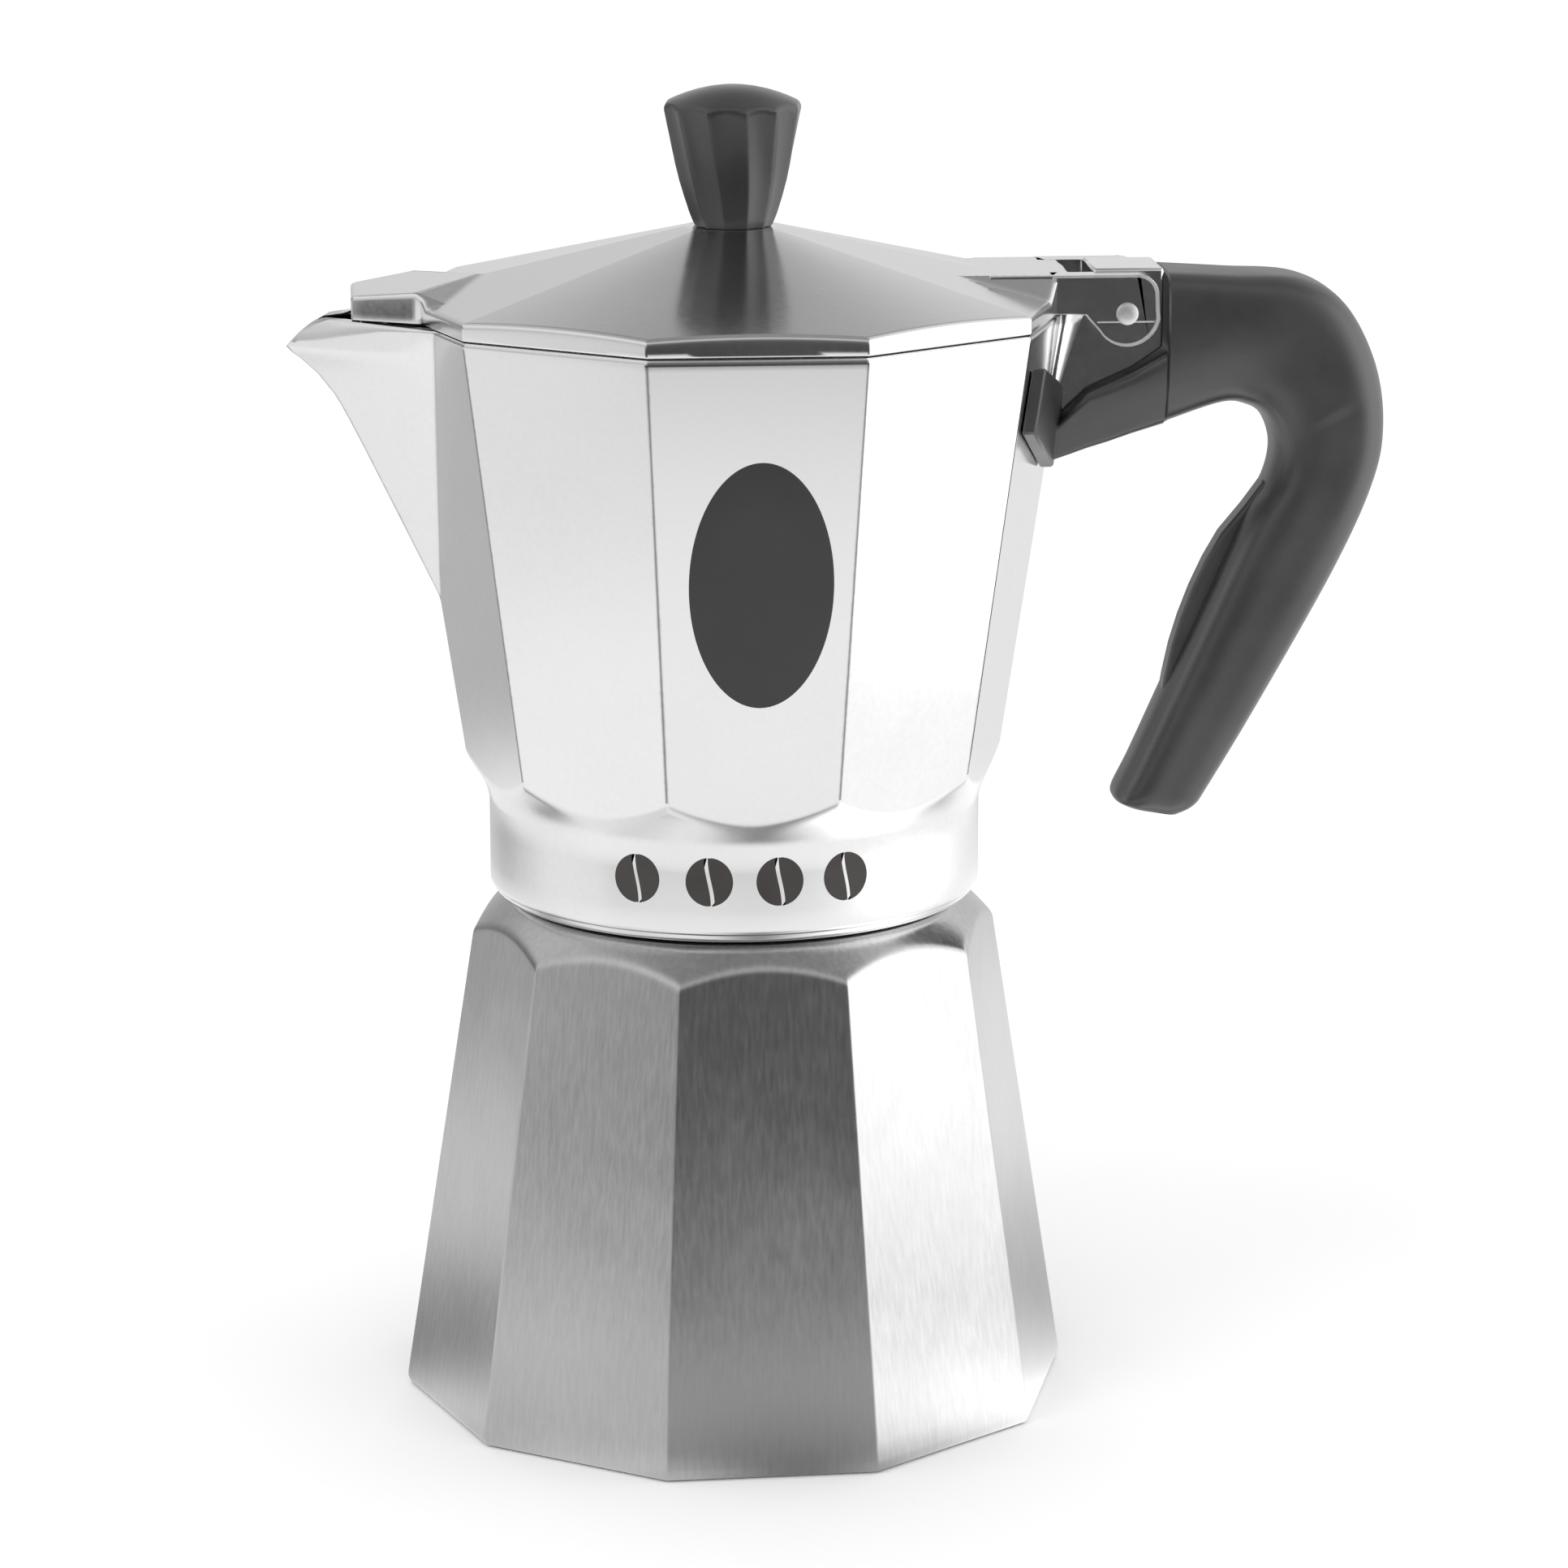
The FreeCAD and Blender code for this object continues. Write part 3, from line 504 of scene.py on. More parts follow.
def make_vessel():
    rows = []
    low = COLLAR_LOW

    def add(radius, z, angle_z=None):
        at = angle_z if angle_z is not None else z
        theta = vessel_angles(float(np.clip(at, 100.0, RIM_Z)))
        rows.append(ring(theta, radius(theta) if callable(radius) else radius, z))

    for r, z in [(COLLAR_BORE, SEAT_Z), (COLLAR_BORE, 92.0), (COLLAR_BORE, low + 0.5),
                 (COLLAR_BORE + 0.3, low + 0.1), (36.9, low), (38.2, low)]:
        add(r, z)
    for r, z in [(38.5, low + 0.03), (38.9, low + 0.18), (39.25, low + 0.5), (39.42, low + 0.9),
                 (39.55, low + 1.3), (39.85, low + 1.55), (39.97, low + 1.8), (40.0, low + 2.3),
                 (40.0, 90.0), (40.0, 96.0), (40.0, 100.0)]:
        add(r, z)

    def lower(theta, z):
        flat = body_skin(theta, z)
        cone = soft_max(COLLAR_R + WAIST_SLOPE * (z - COLLAR_TOP), COLLAR_R, 2.2)
        return soft_min(flat, cone, 0.5)

    theta = vessel_angles(100.0)
    share = deca(theta, 1.0, 0.0, 0.018)
    base = COLLAR_R - WAIST_SLOPE * COLLAR_TOP
    crease = (share * body_radius(0.0) - base) / (WAIST_SLOPE - BODY_SLOPE * share)
    for t in (0.25, 0.5, 0.75, 1.0):
        z = 100.5 + (crease - 1.6 - 100.5) * t
        rows.append(ring(theta, lower(theta, z), z))
    for off in (-1.1, -0.75, -0.5, -0.3, -0.15, 0, 0.15, 0.3, 0.5, 0.75, 1.1, 1.8):
        z = crease + off
        rows.append(ring(theta, lower(theta, z), z))
    for z in (111.0, 114.0, 120.0, 126.0, 130.0):
        add(lambda th, z=z: body_skin(th, z), z)
    heights = [132.5, 133.5, 134.5, 136.0, 138.5, 142.0, 146.0, 150.0, 154.0, 158.0, 161.5,
               164.6, 166.5, 168.3, 169.9, 171.2, 172.4, 173.4, 174.4, 175.4, 176.4, 177.4]
    for z in heights:
        add(lambda th, z=z: with_spout(th, body_skin(th, z), z), z)
    for z, back in [(178.2, 0.0), (178.7, 0.04), (179.0, 0.18), (RIM_Z, 0.45)]:
        add(lambda th, z=z, back=back: with_spout(th, body_skin(th, z), z) - back, z)
    for z, back in [(RIM_Z, 0.6), (179.0, 0.28), (178.6, 0.0)]:
        add(lambda th, z=z, back=back: channel(th, z) + back, z)
    for z in [177.4, 175.0, 172.0, 168.0, 163.0, 158.0, 152.0, 146.0, 141.0, 138.0, 134.0, 128.0,
              120.0, 114.0]:
        add(lambda th, z=z: channel(th, z), z)
    for z, r in [(110.5, 38.9), (107.6, 37.6), (106.5, 35.6), (FLOOR_Z, 33.0), (FLOOR_Z, 20.0),
                 (FLOOR_Z, 12.5), (106.5, 11.0), (107.6, 10.1), (110.0, 9.6), (125.0, 8.2),
                 (140.0, 7.0), (155.6, 5.75), (156.0, 5.4), (156.0, 3.5), (155.7, 3.4),
                 (130.0, 3.8), (104.5, 4.4), (103.0, 6.0), (100.0, 22.6), (SEAT_Z, 23.6),
                 (SEAT_Z, 30.0)]:
        add(r, z, 100.0)
    for row in rows:
        lip(row)
    cols = len(rows[0])
    points = np.concatenate(rows)
    faces = grid_faces(len(rows), cols, True)
    piece = finish_mesh("vessel_shell", points, faces, polish, "vessel_body", ["vessel"], "vessel")
    piece.data.materials.append(cast)
    for f in piece.data.polygons:
        x, y, z = f.center / MM
        deep = math.hypot(x, y) < body_radius(z) * TO_FLAT - 1.2 and z > 99.4
        if deep and z < RIM_Z - 0.3 and x > -45 or (z < 99.6 and math.hypot(x, y) < 36.8):
            f.material_index = 1
    mark_painted_edge_reflections(piece)


def mark_painted_edge_reflections(piece):
    """Marks the ten long edges of the vessel, where its material paints a thin dark line, a painted
    reflection.
    """
    marks = []
    for v in piece.data.vertices:
        x, y, z = v.co / MM
        gap = abs((math.degrees(math.atan2(y, x)) + 18) % 36 - 18)
        aside = math.hypot(x, y) * math.radians(gap)
        tall = CREASE_TOP < z < 178.6 and math.hypot(x, y) > body_radius(z) - 2.0
        marks.append(max(0.0, 1 - aside / EDGE_REFLECTION_HALF) if tall else 0.0)
    piece.data.attributes.new("painted_edge_reflection", "FLOAT", "POINT").data.foreach_set("value", marks)


def channel(theta, z):
    inner = body_skin(theta, z, WALL, 0.9)
    return with_spout(theta, inner, z, WALL, 3.2)


# ---------- lid ----------

def lid_angles():
    """Ring angles, close together beside the hood and the tab."""
    fine = [0, 0.25, 0.5, *np.arange(0.9, 34.5, 0.5), 34.8, 35.2, 35.5, 35.7, 35.85]
    angles = set()
    for k in range(10):
        if k in (0, 5):
            steps = fine
        elif k in (4, 9):
            steps = [0] + [36 - s for s in fine[1:]]
        else:
            steps = CORNER_STEPS + [36 - s for s in CORNER_STEPS[1:-1]]
        angles.update(round(float(36 * k + s), 4) for s in steps)
    return np.radians(np.array(sorted(angles)))


def hood_line(x, y):
    """Distance outside the hood's two side lines, for y folded to one side."""
    wall = (y - 8.0) * 0.894 - (x + 61.0) * 0.447
    flank = (y - 13.0) * 0.61 - (x + 51.0) * -0.79
    return wall, flank


def hood_plan(theta):
    """Plan reach of the hood over the spout, by angle."""
    beta = from_spout(theta)
    tip_x, tip_y = HOOD_TIP
    end = tip_x / np.maximum(np.cos(beta), 0.2)
    corner = math.atan2(tip_y, tip_x)
    dx = HOOD_ROOT[0] - tip_x
    dy = HOOD_ROOT[1] - tip_y
    side = (tip_x * dy - tip_y * dx) / np.maximum(np.cos(beta) * dy - np.sin(beta) * dx, 1e-3)
    reach = np.where(beta < corner, end, side)
    return np.where(beta < math.radians(24), soft_min(end, side, 0.5), 0)


def lid_height(theta, r):
    slope = (LID_TOP - LID_EDGE) / (LID_R - LID_TOP_R)
    beta = from_vertex(theta)
    flat = LID_EDGE + slope * (LID_R - r * np.cos(HALF - beta) / TO_FLAT)
    cone = LID_EDGE + slope * (LID_R - r)
    degrees = np.degrees(theta) % 360
    front = ((degrees > 216) & (degrees < 324)) | ((degrees > 36) & (degrees < 144))
    z = np.where(front, cone, flat)
    x = r * np.cos(theta)
    y = np.abs(r * np.sin(theta))
    roof = 183.3 + 0.115 * (61.2 + x)
    wall, flank = hood_line(x, y)
    hood = roof - np.maximum(flank, 0) * 0.42 - np.maximum(wall, 0) * 0.8
    hood = np.where(x < -30, hood, 0)
    z = soft_max(z, hood, 0.35)
    tab_flank = np.maximum(y - 10.6, 0)
    tab = TAB_TOP - tab_flank * 0.62
    tab = np.where(x > 30, tab, 0)
    return soft_max(z, tab, 0.35)


def lid_plan(theta):
    base = deca(theta, LID_R, 0.0, 0.8)
    return soft_max(base, hood_plan(theta), 0.9)


def make_lid():
    theta = lid_angles()
    plan = lid_plan(theta)
    ease = np.maximum(plan - 0.8, 1.0)
    rows = []
    for r in (2.4, 5.0, 7.4):
        rows.append(ring(theta, r, LID_TOP))
    rows.append(ring(theta, 8.2, lid_height(theta, np.full_like(theta, 8.2)) + 0.02))
    inner = np.concatenate([np.linspace(0.0, 0.45, 6), np.linspace(0.47, 1.0, 90)])
    for t in inner:
        r = 9.5 + (ease - 9.5) * t
        rows.append(ring(theta, r, lid_height(theta, r)))
    for off, drop in [(0.5, 0.05), (0.28, 0.14), (0.12, 0.3), (0.03, 0.52), (0.0, 0.8)]:
        r = plan - off
        rows.append(ring(theta, r, lid_height(theta, r) - drop))
    edge = lid_height(theta, plan)
    rows.append(ring(theta, plan, LID_LOW + 0.35 * (edge - LID_LOW)))
    rows.append(ring(theta, plan, LID_LOW + 0.3))
    rows.append(ring(theta, plan - 0.1, LID_LOW + 0.08))
    rows.append(ring(theta, plan - 0.3, LID_LOW))
    wall = np.minimum(1.7, plan)
    rows.append(ring(theta, plan - wall + 0.3, LID_LOW))
    rows.append(ring(theta, plan - wall, LID_LOW + 0.3))
    under = lid_height(theta, plan - 2.0) - LID_T
    rows.append(ring(theta, plan - wall, np.maximum(under - 0.5, LID_LOW + 0.6)))
    for t in np.linspace(1.0, 0.0, 26):
        r = 7.4 + (plan - 2.4 - 7.4) * t
        rows.append(ring(theta, r, np.maximum(lid_height(theta, r) - LID_T, LID_LOW + 0.7)))
    rows.append(ring(theta, 5.0, LID_TOP - LID_T))
    rows.append(ring(theta, 2.4, LID_TOP - LID_T))
    cols = len(theta)
    points = np.concatenate(rows)
    faces = grid_faces(len(rows), cols, True)
    faces = cut_slot(points, faces)
    finish_mesh("lid_shell", points, faces, lid_polish, "lid_body", ["lid"], "lid", 24.0)


def cut_slot(points, faces):
    """Opens the gap in the tab that the hinge lug swings through."""
    keep = []
    for f in faces:
        c = points[list(f)].mean(0)
        if c[0] > 53.1 and abs(c[1]) < 7.3:
            continue
        keep.append(f)
    return keep


EAR_MIDDLE = np.array([59.0, 180.9])
EAR_RIM_SCALE = 0.925
EAR_EDGE_SCALE = 0.985


def make_ears():
    outline = [(50.0, TAB_TOP), (64.2, TAB_TOP)]
    outline += arc(64.0, 182.6, 3.2, 88, 0, 8)
    outline += [(67.3, PIN_Z + 0.4)]
    outline += arc(PIN_X + 0.1, PIN_Z, 5.3, -10, -150, 14)
    outline += [(56.1, 178.6), (55.4, 179.45), (53.0, 179.6), (50.0, 179.6)]
    for name, y0, y1 in (("hinge_ear_near", -EAR_OUT, -EAR_IN), ("hinge_ear_far", EAR_IN, EAR_OUT)):
        prism(name, outline, y0, y1, "y", 0.2, lid_polish, "lid_body", 1, slot="lid")
        add_ear_rim(name + "_rim", outline, y0 if y0 < 0 else y1, -1 if y0 < 0 else 1)
        face = y0 - 0.02 if y0 < 0 else y1 + 0.02
        inset_bar(name + "_line", face, y0 < 0)
    web = [(40.0, -11.4), (53.1, -11.4), (53.1, 11.4), (40.0, 11.4)]
    prism("hinge_web", web, 183.6, 185.78, "z", 0.15, lid_polish, "lid_body", slot="lid")


def add_ear_rim(name, outline, face, side):
    """A narrow raised rim that follows the ear's outline, left with a soft bright finish."""
    outer = np.array(outline)
    inner = EAR_MIDDLE + (outer - EAR_MIDDLE) * EAR_RIM_SCALE
    edge = EAR_MIDDLE + (outer - EAR_MIDDLE) * EAR_EDGE_SCALE
    root = face - side * 0.15
    proud = face + side * 0.22
    rows = []
    for loop, y in ((outer, root), (outer, face), (edge, proud), (inner, proud), (inner, root)):
        rows.append(np.stack([loop[:, 0], np.full(len(loop), y), loop[:, 1]], -1))
    faces = grid_faces(len(rows), len(outer), True)
    finish_mesh(name, np.concatenate(rows), faces, rivet, "lid_body", slot="lid")


def make_pin():
    """The hinge pin in two halves, each with a domed head."""
    theta = plain_angles(48)
    profile = [(1.4, 0.0), (1.4, 11.4), (1.75, 11.45), (1.78, 11.75), (1.6, 12.05), (1.2, 12.22),
               (0.6, 12.3)]
    for side in (-1, 1):
        rows = []
        for r, h in profile:
            rows.append(np.stack([PIN_X + r * np.cos(theta), np.full_like(theta, side * h),
                                  PIN_Z + r * np.sin(theta)], -1))
        points, faces = closed_rings(rows)
        nodes = ["hinge_pin"] if side < 0 else []
        name = "hinge_pin_near" if side < 0 else "hinge_pin_far"
        finish_mesh(name, points, faces, rivet, "vessel_body", nodes, "steel")


def inset_bar(name, y, near):
    outline = [(57.2, 178.1), (66.6, 178.1), (66.6, 178.5), (57.2, 178.5)]
    y0, y1 = (y, y + 0.3) if near else (y - 0.3, y)
    prism(name, outline, y0, y1, "y", 0.12, rivet, "lid_body", slot="lid")


def make_lug():
    outline = [(48.0, 162.2), (51.4, 162.0), (56.3, 166.9), (63.5, 170.1), (68.6, 173.5),
               (68.6, 186.2), (57.2, 186.2), (57.2, 179.2), (50.0, 179.2)]
    prism("hinge_lug", outline, -6.9, 6.9, "y", 0.45, polish, "vessel_body", slot="vessel")
    for side in (-1, 1):
        rows = []
        for z in np.linspace(163.0, 179.15, 12):
            t = (z - 163.0) / 16.15
            spread = 0.8 + 2.6 * t
            foot = body_radius(z) * TO_FLAT
            line = []
            for a in np.linspace(0, 90, 9):
                u = math.radians(a)
                y = 6.85 + spread * (1 - math.cos(u))
                x_face = (foot - y * math.sin(HALF)) / TO_FLAT
                x = x_face + spread * 1.2 * (1 - math.sin(u))
                line.append((x, side * y, z))
            rows.append(line)
        add_fillet("lug_fillet_near" if side < 0 else "lug_fillet_far", rows, side)


def add_fillet(name, rows, side):
    """A solid corner fillet: its curved face, closed towards the lug and the wall."""
    points = []
    for line in rows:
        points += line
        x, y, z = line[-1]
        points.append((x - 2.0, side * 6.0, z))
    n = len(rows[0]) + 1
    faces = []
    for i in range(len(rows) - 1):
        for j in range(n):
            k = (j + 1) % n
            faces.append((i * n + j, i * n + k, (i + 1) * n + k, (i + 1) * n + j))
    faces.append(tuple(range(n)))
    faces.append(tuple((len(rows) - 1) * n + j for j in range(n)))
    finish_mesh(name, points, faces, polish, "vessel_body", slot="vessel")


# ---------- knob ----------

def make_knob():
    theta = plain_angles(240)
    step = math.pi / 12
    zs = [192.9, 193.0, 193.4, 194.2, 195.2, 197.8, 200.4, 203.0, 205.6, 208.5, 210.6, 211.4, 211.9,
          212.3, 212.7]
    rs = [6.1, 6.3, 6.55, 6.9, 7.3, 8.15, 8.9, 9.5, 10.0, 10.55, 10.95, 11.1, 11.15, 11.05, 10.8]
    rows = [ring(theta, 2.2, 192.9)]
    for z, r in zip(zs, rs):
        twist = math.radians(5 + (212 - z) * 0.55)
        beta = np.abs((theta - twist + step) % (2 * step) - step)
        flat = r * math.cos(step) / np.cos(step - beta)
        hollow = 0.02 * r * np.sin(math.pi * beta / step / 2)
        side = soft_min(flat - hollow, r - 0.05 + 0 * theta, 0.06)
        rim = np.clip((z - 211.6) / 1.4, 0, 1)
        rows.append(ring(theta, side * (1 - rim) + (r - 0.25) * rim, z))
    for r in (10.2, 9.2, 7.8, 6.0, 4.0, 2.0):
        fall = 2.7 * (r / 10.8) ** 2
        rows.append(ring(theta, r, 215.35 - fall))
    points, faces = closed_rings(rows)
    finish_mesh("knob_body", points, faces, knob_black, "lid_body", ["knob"], "black", 20.0)


# ---------- handle ----------

# each station: outer (x, z), inner (x, z), half width, squareness, crease, bevel
GRIP = [
    ((69.2, 185.5), (69.2, 160.8), 9.5, 7.0, -0.32, 2.4),
    ((80.0, 184.9), (78.6, 163.8), 9.5, 6.0, -0.13, 2.4),
    ((91.4, 184.1), (82.8, 163.4), 9.6, 4.6, 0.08, 1.6),
    ((98.8, 179.6), (85.6, 161.6), 9.7, 3.6, 0.1, 0.7),
    ((104.0, 170.0), (87.2, 158.4), 9.8, 3.0, 0.1, 0.2),
    ((105.6, 159.6), (87.5, 154.8), 9.9, 2.8, 0.1, 0.0),
    ((103.9, 150.0), (86.2, 150.2), 9.9, 2.8, 0.1, 0.0),
    ((97.7, 135.6), (82.6, 144.3), 9.6, 2.8, 0.1, 0.0),
    ((86.0, 114.0), (72.6, 121.7), 8.9, 2.8, 0.1, 0.0),
    ((78.0, 100.2), (65.4, 105.4), 8.3, 2.8, 0.1, 0.0),
    ((75.9, 97.2), (62.4, 98.9), 7.9, 3.0, 0.1, 0.0),
    ((73.2, 95.6), (63.4, 97.4), 6.4, 3.0, 0.1, 0.0),
]
# the same for the wedge under the hinge lug
FOOT = [
    ((50.2, 161.6), (50.2, 155.3), 9.2, 12.0, 1.0, 1.2),
    ((50.6, 161.7), (50.6, 155.2), 9.5, 12.0, 1.0, 1.4),
    ((51.6, 161.5), (51.6, 155.5), 9.5, 12.0, 1.0, 1.6),
    ((54.0, 163.9), (54.0, 156.2), 9.5, 12.0, 1.0, 1.9),
    ((56.5, 166.5), (56.5, 157.0), 9.5, 12.0, 0.8, 2.1),
    ((60.0, 168.0), (60.0, 158.0), 9.5, 12.0, 0.6, 2.3),
    ((63.7, 169.7), (63.7, 159.2), 9.5, 11.0, 0.55, 2.4),
    ((69.0, 172.8), (69.0, 160.75), 9.5, 10.0, 0.43, 2.4),
]


def flat_row(station):
    outer, inner, *rest = station
    return [*outer, *inner, *rest]


def curve_rows(rows, steps):
    """Smooth curve through the stations, in equal steps between each two."""
    flat = np.array([flat_row(row) for row in rows])
    ends = np.concatenate([flat[:1], flat, flat[-1:]])
    out = []
    for k in range(1, len(ends) - 2):
        a, b, c, d = ends[k - 1:k + 3]
        for step in range(steps):
            t = step / steps
            bend = (2 * a - 5 * b + 4 * c - d) * t * t + (3 * b - a - 3 * c + d) * t ** 3
            out.append(b + ((c - a) * t + bend) / 2)
    out.append(flat[-1])
    return out


def grip_ring(row, angle):
    """One section of the handle: a rounded block, drawn in below its side crease."""
    ox, oz, ix, iz, half, square, crease, bevel = row
    cos = np.cos(angle)
    sin = np.sin(angle)
    along = np.sign(cos) * np.abs(cos) ** (2 / square)
    across = np.sign(sin) * np.abs(sin) ** (2 / square)
    mid = np.array([(ox + ix) / 2, (oz + iz) / 2])
    reach = np.array([ox, oz]) - mid
    side = np.abs(across) * half
    below = np.maximum(crease - along, 0) / (crease + 1)
    pinch = 0.3 * np.exp(-((along - 0.1) / 0.35) ** 2) * (1 if bevel < 0.1 else 0)
    y = np.sign(across) * np.maximum(side - pinch - bevel * below, 0)
    return np.stack([mid[0] + reach[0] * along, y, mid[1] + reach[1] * along], -1)


def make_handle():
    angle = plain_angles(96)
    rows = [grip_ring(flat_row(station), angle) for station in FOOT]
    stations = curve_rows(GRIP, 8)
    face = grip_ring(stations[0], angle)
    low = face.copy()
    low[:, 2] = np.minimum(low[:, 2], GRIP_STEP)
    low[:, 0] -= 0.05
    rows.append(low)
    rim = face.copy()
    rim[:, 2] = 173.1 + (rim[:, 2] - 173.1) * 0.965
    rim[:, 1] *= 0.97
    rim[:, 2] = np.where(face[:, 2] > GRIP_STEP, rim[:, 2], face[:, 2])
    rows.append(rim)
    face[:, 0] += 0.3
    rows.append(face)
    for row in stations[1:]:
        rows.append(grip_ring(row, angle))
    points, faces = closed_rings(rows)
    finish_mesh("handle_grip", points, faces, black, "vessel_body", ["handle"], "black", 30.0)
    make_cheeks()
    make_fin()


def make_cheeks():
    """Thin cheeks that lie on the two facets beside the handle."""
    for side in (-1, 1):
        edge = [(6.0, 154.0), (28.0, 163.2), (28.0, 173.6), (9.0, 168.0), (6.0, 162.4)]
        points = []
        for proud in (0.15, 2.3):
            for y, z in edge:
                foot = body_radius(z) * TO_FLAT + proud
                points.append(((foot - y * math.sin(HALF)) / TO_FLAT, side * y, z))
        faces = plate_faces(len(edge))
        name = "handle_cheek_near" if side < 0 else "handle_cheek_far"
        piece = finish_mesh(name, points, faces, black, "vessel_body", slot="black")
        rounding = piece.modifiers.new("edge", "BEVEL")
        rounding.width = 0.4 * MM
        rounding.segments = 2


def make_fin():
    """The finger blade inside the handle's bend."""
    outline = [(86.4, 151.0), (83.2, 146.6), (79.4, 142.0), (76.9, 137.6), (74.8, 133.0),
               (73.0, 128.2), (71.6, 123.5), (70.5, 118.3), (69.8, 113.6), (76.0, 119.0),
               (84.0, 133.0), (90.0, 146.0)]
    prism("handle_fin", outline, -2.6, 2.6, "y", 0.8, black, "vessel_body", 3, slot="black")


# ---------- badge and marks ----------

def make_badge():
    lean = math.atan(BODY_SLOPE * TO_FLAT)
    angle = plain_angles(96)
    centre = np.array([BADGE_X, -body_radius(BADGE_Z) * TO_FLAT, BADGE_Z])
    across = np.array([1.0, 0, 0])
    up = np.array([0, -math.sin(lean), math.cos(lean)])
    out = np.array([0, -math.cos(lean), -math.sin(lean)])
    rows = []
    for scale, rise in [(1.0, -0.1), (1.0, 0.1), (0.994, 0.17), (0.985, 0.2), (0.6, 0.2),
                        (0.2, 0.2)]:
        inset = (1 - scale) * BADGE_HALF_W
        w = BADGE_HALF_W - inset
        h = BADGE_HALF_H - inset if scale > 0.9 else BADGE_HALF_H * scale
        oval = np.outer(np.cos(angle) * w, across) + np.outer(np.sin(angle) * h, up)
        rows.append(centre + oval + out * rise)
    points, faces = closed_rings(rows)
    finish_mesh("badge_plate", points, faces, badge_dark, "vessel_body", ["badge"], "badge")


def bean_outline(side, count=28):
    """Half of a coffee bean, beside its curved slit. u is across, v is up."""
    tall = 3.9
    wide = 3.75
    slit = 0.32
    outer = []
    start = 0.1
    for k in range(count + 1):
        t = math.pi / 2 - start - (math.pi - 2 * start) * k / count
        u = wide * math.cos(t)
        v = tall * math.sin(t)
        outer.append((side * u, v))
    inner = []
    for k in range(count // 2 + 1):
        v = -tall * 0.98 + 2 * tall * 0.98 * k / (count // 2)
        bend = -0.55 * math.sin(math.pi * v / tall / 2)
        limit = wide * math.sqrt(max(1 - (v / tall) ** 2, 0.0))
        u = bend + side * slit
        u = max(-limit, min(limit, u))
        inner.append((u, v))
    return outer + inner


def make_beans():
    first = True
    for index, degrees in enumerate(BEAN_TURNS):
        for side in (-1, 1):
            points = []
            outline = bean_outline(side)
            for lift in (-0.05, 0.11):
                for u, v in outline:
                    t = math.radians(degrees) + u / COLLAR_R
                    r = COLLAR_R + lift
                    points.append((r * math.sin(t), -r * math.cos(t), BEAN_Z + v))
            faces = plate_faces(len(outline))
            name = "bean_%d_%s" % (index, "left" if side < 0 else "right")
            nodes = ["bean_marks"] if first else []
            finish_mesh(name, points, faces, bean_dark, "vessel_body", nodes, "badge", 30.0)
            first = False


# ---------- CAD nodes that stay ----------

KEPT = {
    "valve_body": brass, "valve_washer": spun, "valve_nut": brass, "valve_cap": brass,
    "valve_plunger": steel, "valve_spring": steel, "funnel": spun, "funnel_stem": spun,
    "funnel_disc": spun, "gasket": rubber, "filter_plate": spun, "column_cap": spun,
    "hinge_pin": steel, "knob_washer": steel, "knob_screw": steel, "handle_screw": steel,
}


def dress_nodes():
    for name, material in KEPT.items():
        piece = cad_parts[name]
        for slot in piece.material_slots:
            slot.material = material
        if not piece.material_slots:
            piece.data.materials.append(material)


# ---------- studio ----------

# Unseen cards light only what is mirrored; the world and the key lamp light the rest.
ROOM = [
    # azimuth from +X, elevation, brightness, width in degrees
    (279, -4, 0.07, 26), (279, 12, 0.10, 24), (255, 5, 0.12, 20), (300, 5, 0.25, 16),
    (279, 40, 0.7, 20), (207, 0, 0.46, 24), (207, 35, 0.9, 26), (160, 5, 0.2, 20),
    (135, 0, 0.17, 22), (110, 5, 0.55, 18), (351, 0, 2.3, 24), (325, 10, 1.3, 16),
    (20, 5, 1.3, 20), (63, 3, 0.72, 20), (85, 5, 0.8, 14), (90, 42, 0.21, 18),
    (95, 24, 0.70, 12), (77, 20, 0.78, 12), (140, 40, 0.8, 20), (30, 40, 0.95, 20),
    (0, 75, 0.3, 18), (120, 80, 0.25, 24), (240, 75, 0.25, 24),
]


def room_light(direction):
    """Smooth brightness of the unseen dome in one direction, from the listed spots."""
    total = 0.0
    weight = 1e-9
    for azimuth, elevation, value, width in ROOM:
        a = math.radians(azimuth)
        e = math.radians(elevation)
        spot = (math.cos(a) * math.cos(e), math.sin(a) * math.cos(e), math.sin(e))
        cosine = sum(p * q for p, q in zip(spot, direction))
        gap = math.degrees(math.acos(max(-1.0, min(1.0, cosine))))
        w = math.exp(-((gap / width) ** 2))
        total += w * value
        weight += w
    return total / weight


def glow(name, attribute):
    """A light-giving card whose brightness is stored on its points."""
    material = bpy.data.materials.new(name)
    material.use_nodes = True
    tree = material.node_tree
    tree.nodes.clear()
    out = tree.nodes.new("ShaderNodeOutputMaterial")
    shine = tree.nodes.new("ShaderNodeEmission")
    value = tree.nodes.new("ShaderNodeAttribute")
    value.attribute_name = attribute
    tree.links.new(value.outputs["Fac"], shine.inputs["Strength"])
    tree.links.new(shine.outputs["Emission"], out.inputs["Surface"])
    material.cycles.emission_sampling = "NONE"
    return material


def only_in_gloss(piece):
    """Seen by mirror-like rays only: it isn't in view and lights no matt surface."""
    piece.visible_camera = False
    piece.visible_diffuse = False
    piece.visible_shadow = False
    piece.visible_transmission = False


def card(name, points, faces, light):
    mesh = bpy.data.meshes.new(name)
    mesh.from_pydata(points, [], faces)
    mesh.attributes.new("light", "FLOAT", "POINT").data.foreach_set("value", light)
    mesh.materials.append(glow(name, "light"))
    piece = bpy.data.objects.new(name, mesh)
    bpy.context.scene.collection.objects.link(piece)
    only_in_gloss(piece)
    return piece


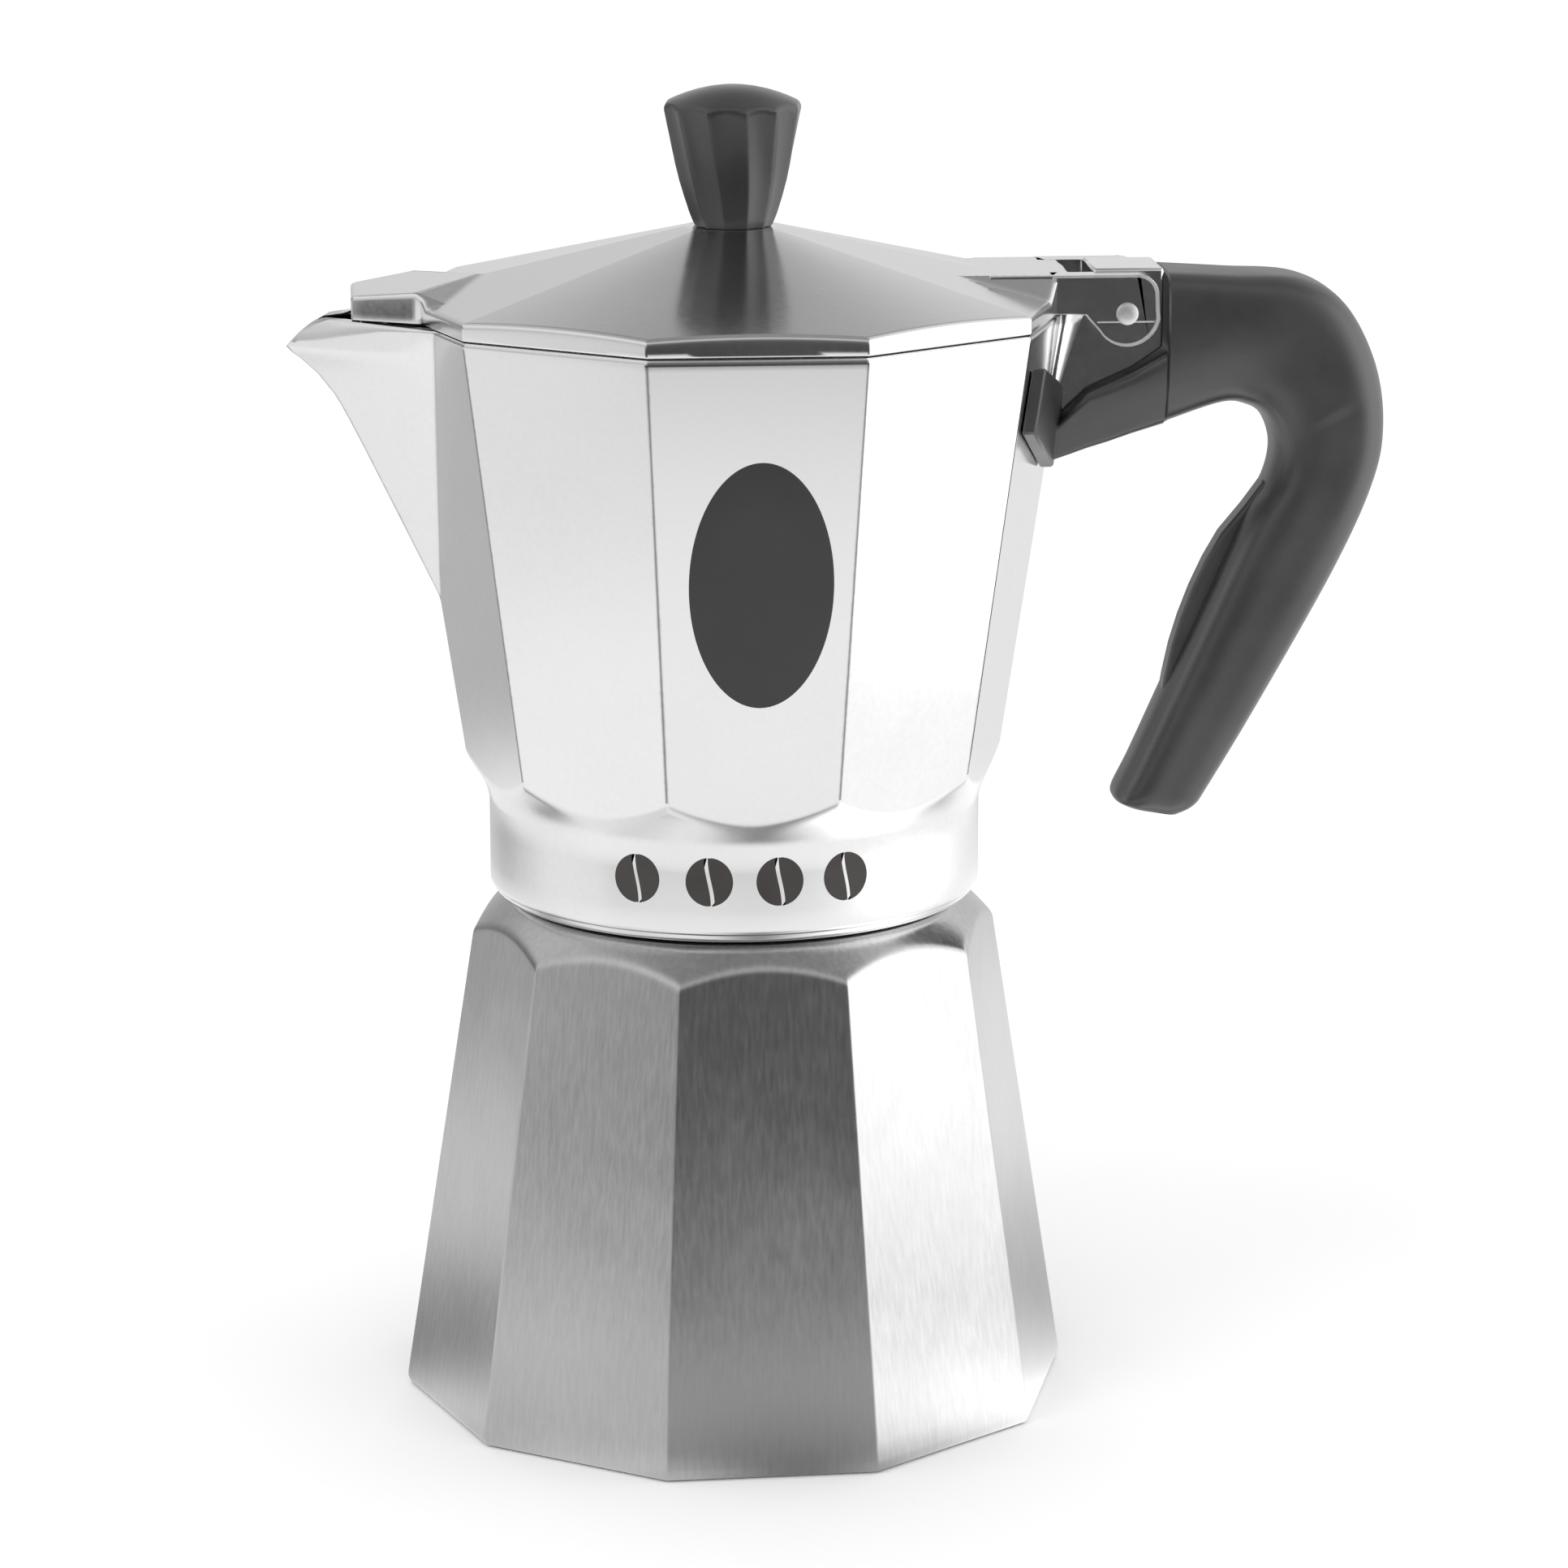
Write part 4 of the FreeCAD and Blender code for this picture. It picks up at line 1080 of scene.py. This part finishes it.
def make_room():
    radius = 3.0
    points = []
    light = []
    elevations = np.linspace(-3, 90, 32)
    azimuths = np.linspace(0, 360, 73)[:-1]
    for e in np.radians(elevations):
        for a in np.radians(azimuths):
            d = (math.cos(a) * math.cos(e), math.sin(a) * math.cos(e), math.sin(e))
            points.append(tuple(radius * q for q in d))
            light.append(room_light(d))
    faces = grid_faces(len(elevations), len(azimuths))
    card("room_light", points, faces, light)


# Azimuth and brightness of the mirrored table, all round the pot.
FLOOR_TONES = [(58, 1.08), (94, 0.92), (130, 0.88), (166, 0.86), (202, 0.95), (238, 0.9),
               (274, 0.92), (310, 0.98), (346, 1.04), (382, 0.98)]
# Azimuth and gain: near the boiler foot, then far out.
CLOSE_TONES = [(163, 0.45), (217, 0.80), (277, 0.30), (334, 1.8), (30, 0.62)]
AWAY_TONES = [(135, 0.55), (207, 0.85), (279, 0.90), (351, 1.8), (63, 0.8), (96, 0.72)]
CLOSE_SPREAD = 19.0
AWAY_SPREAD = 26.0
# Metres from the pot's axis, and the width of each change.
CLOSE_END, CLOSE_FADE = 0.19, 0.04
AWAY_START, AWAY_FADE = 0.32, 0.06
DARK_START, DARK_FADE = 0.36, 0.30
# The dark zone far in front: its middle and half width in degrees, and its depth.
DARK_AZIMUTH, DARK_HALF, DARK_EDGE = 265, 63, 10.0
DARK_DEPTH = 0.93


def gain_at(azimuth, tones, spread):
    """Smooth gain from a list of spots round the pot."""
    gain = 1.0
    for spot, value in tones:
        gap = abs((azimuth - spot + 180) % 360 - 180)
        gain *= 1 + (value - 1) * math.exp(-((gap / spread) ** 2))
    return gain


def ramp_up(value, width):
    return min(max(value / width, 0), 1)


def floor_light(azimuth, reach):
    """What the metal mirrors of the table: pale, toned near and far, nearly black far in front."""
    start, tone = FLOOR_TONES[0]
    turned = (azimuth - start) % 360 + start
    spots = [a for a, v in FLOOR_TONES] + [start + 360]
    tones = [v for a, v in FLOOR_TONES] + [tone]
    value = float(np.interp(turned, spots, tones))
    close = ramp_up(CLOSE_END - reach, CLOSE_FADE)
    away = ramp_up(reach - AWAY_START, AWAY_FADE)
    value *= 1 + close * (gain_at(azimuth, CLOSE_TONES, CLOSE_SPREAD) - 1)
    value *= 1 + away * (gain_at(azimuth, AWAY_TONES, AWAY_SPREAD) - 1)
    gap = abs((azimuth - DARK_AZIMUTH + 180) % 360 - 180)
    front = ramp_up(DARK_HALF - gap, DARK_EDGE)
    far = ramp_up(reach - DARK_START, DARK_FADE)
    far = far * far * (3 - 2 * far)
    return value * (1 - DARK_DEPTH * far * front)


def make_gloss_floor():
    points = []
    light = []
    reaches = [0.03, 0.06, 0.1, 0.14, 0.18, 0.22, 0.26, 0.29, 0.31, 0.33, 0.35, 0.37, 0.4, 0.44,
               0.48, 0.52, 0.56, 0.6, 0.65, 0.7, 0.8, 1.0, 1.4, 2.0, 2.99]
    for reach in reaches:
        for azimuth in range(0, 360, 2):
            a = math.radians(azimuth)
            points.append((reach * math.cos(a), reach * math.sin(a), 0.0003))
            light.append(floor_light(azimuth, reach))
    card("gloss_floor", points, grid_faces(len(reaches), 180), light)


def make_floor():
    mesh = bpy.data.meshes.new("floor")
    size = 6.0
    corners = [(-size, -size, 0), (size, -size, 0), (size, size, 0), (-size, size, 0)]
    mesh.from_pydata(corners, [], [(0, 1, 2, 3)])
    p = Paint("floor_pale")
    p.set(Roughness=0.9)
    p.link(p.ramp(p.noise(3.0), [(0.3, grey(0.93)), (0.7, grey(0.95))]), "Base Color")
    mesh.materials.append(p.material)
    piece = bpy.data.objects.new("floor", mesh)
    bpy.context.scene.collection.objects.link(piece)


WORLD_STRENGTH = 1.12
CAMERA_LENS = 123.23
CAMERA_PLACE = (-0.06194, -0.85309, 0.30379)
CAMERA_DOWN = 13.33
CAMERA_TURN = -4.70


def make_world():
    """White surroundings for matt surfaces; switched off for glossy rays."""
    world = bpy.data.worlds.new("studio")
    bpy.context.scene.world = world
    world.use_nodes = True
    back = world.node_tree.nodes["Background"]
    back.inputs["Color"].default_value = (1, 1, 1, 1)
    back.inputs["Strength"].default_value = WORLD_STRENGTH
    world.cycles_visibility.glossy = False


def make_light(name, place, size, power):
    """A round soft lamp aimed at the pot's foot; glossy rays don't see it."""
    lamp = bpy.data.lights.new(name, "AREA")
    lamp.shape = "DISK"
    lamp.size = size
    lamp.energy = power
    piece = bpy.data.objects.new(name, lamp)
    piece.location = place
    direction = -piece.location
    piece.rotation_euler = direction.to_track_quat("-Z", "Y").to_euler()
    bpy.context.scene.collection.objects.link(piece)
    piece.visible_glossy = False


def make_camera():
    data = bpy.data.cameras.new("camera")
    data.sensor_width = 36.0
    data.lens = CAMERA_LENS
    camera = bpy.data.objects.new("camera", data)
    camera.location = CAMERA_PLACE
    camera.rotation_euler = (math.radians(90 - CAMERA_DOWN), 0.0, math.radians(CAMERA_TURN))
    bpy.context.scene.collection.objects.link(camera)
    bpy.context.scene.camera = camera


make_boiler()
make_vessel()
make_lid()
make_ears()
make_pin()
make_lug()
make_knob()
make_handle()
make_badge()
make_beans()
dress_nodes()
make_floor()
make_room()
make_gloss_floor()
make_world()
make_light("key", (-0.5, -0.7, 1.3), 0.9, 3.0)
make_camera()
bpy.context.scene.view_settings.view_transform = "Standard"
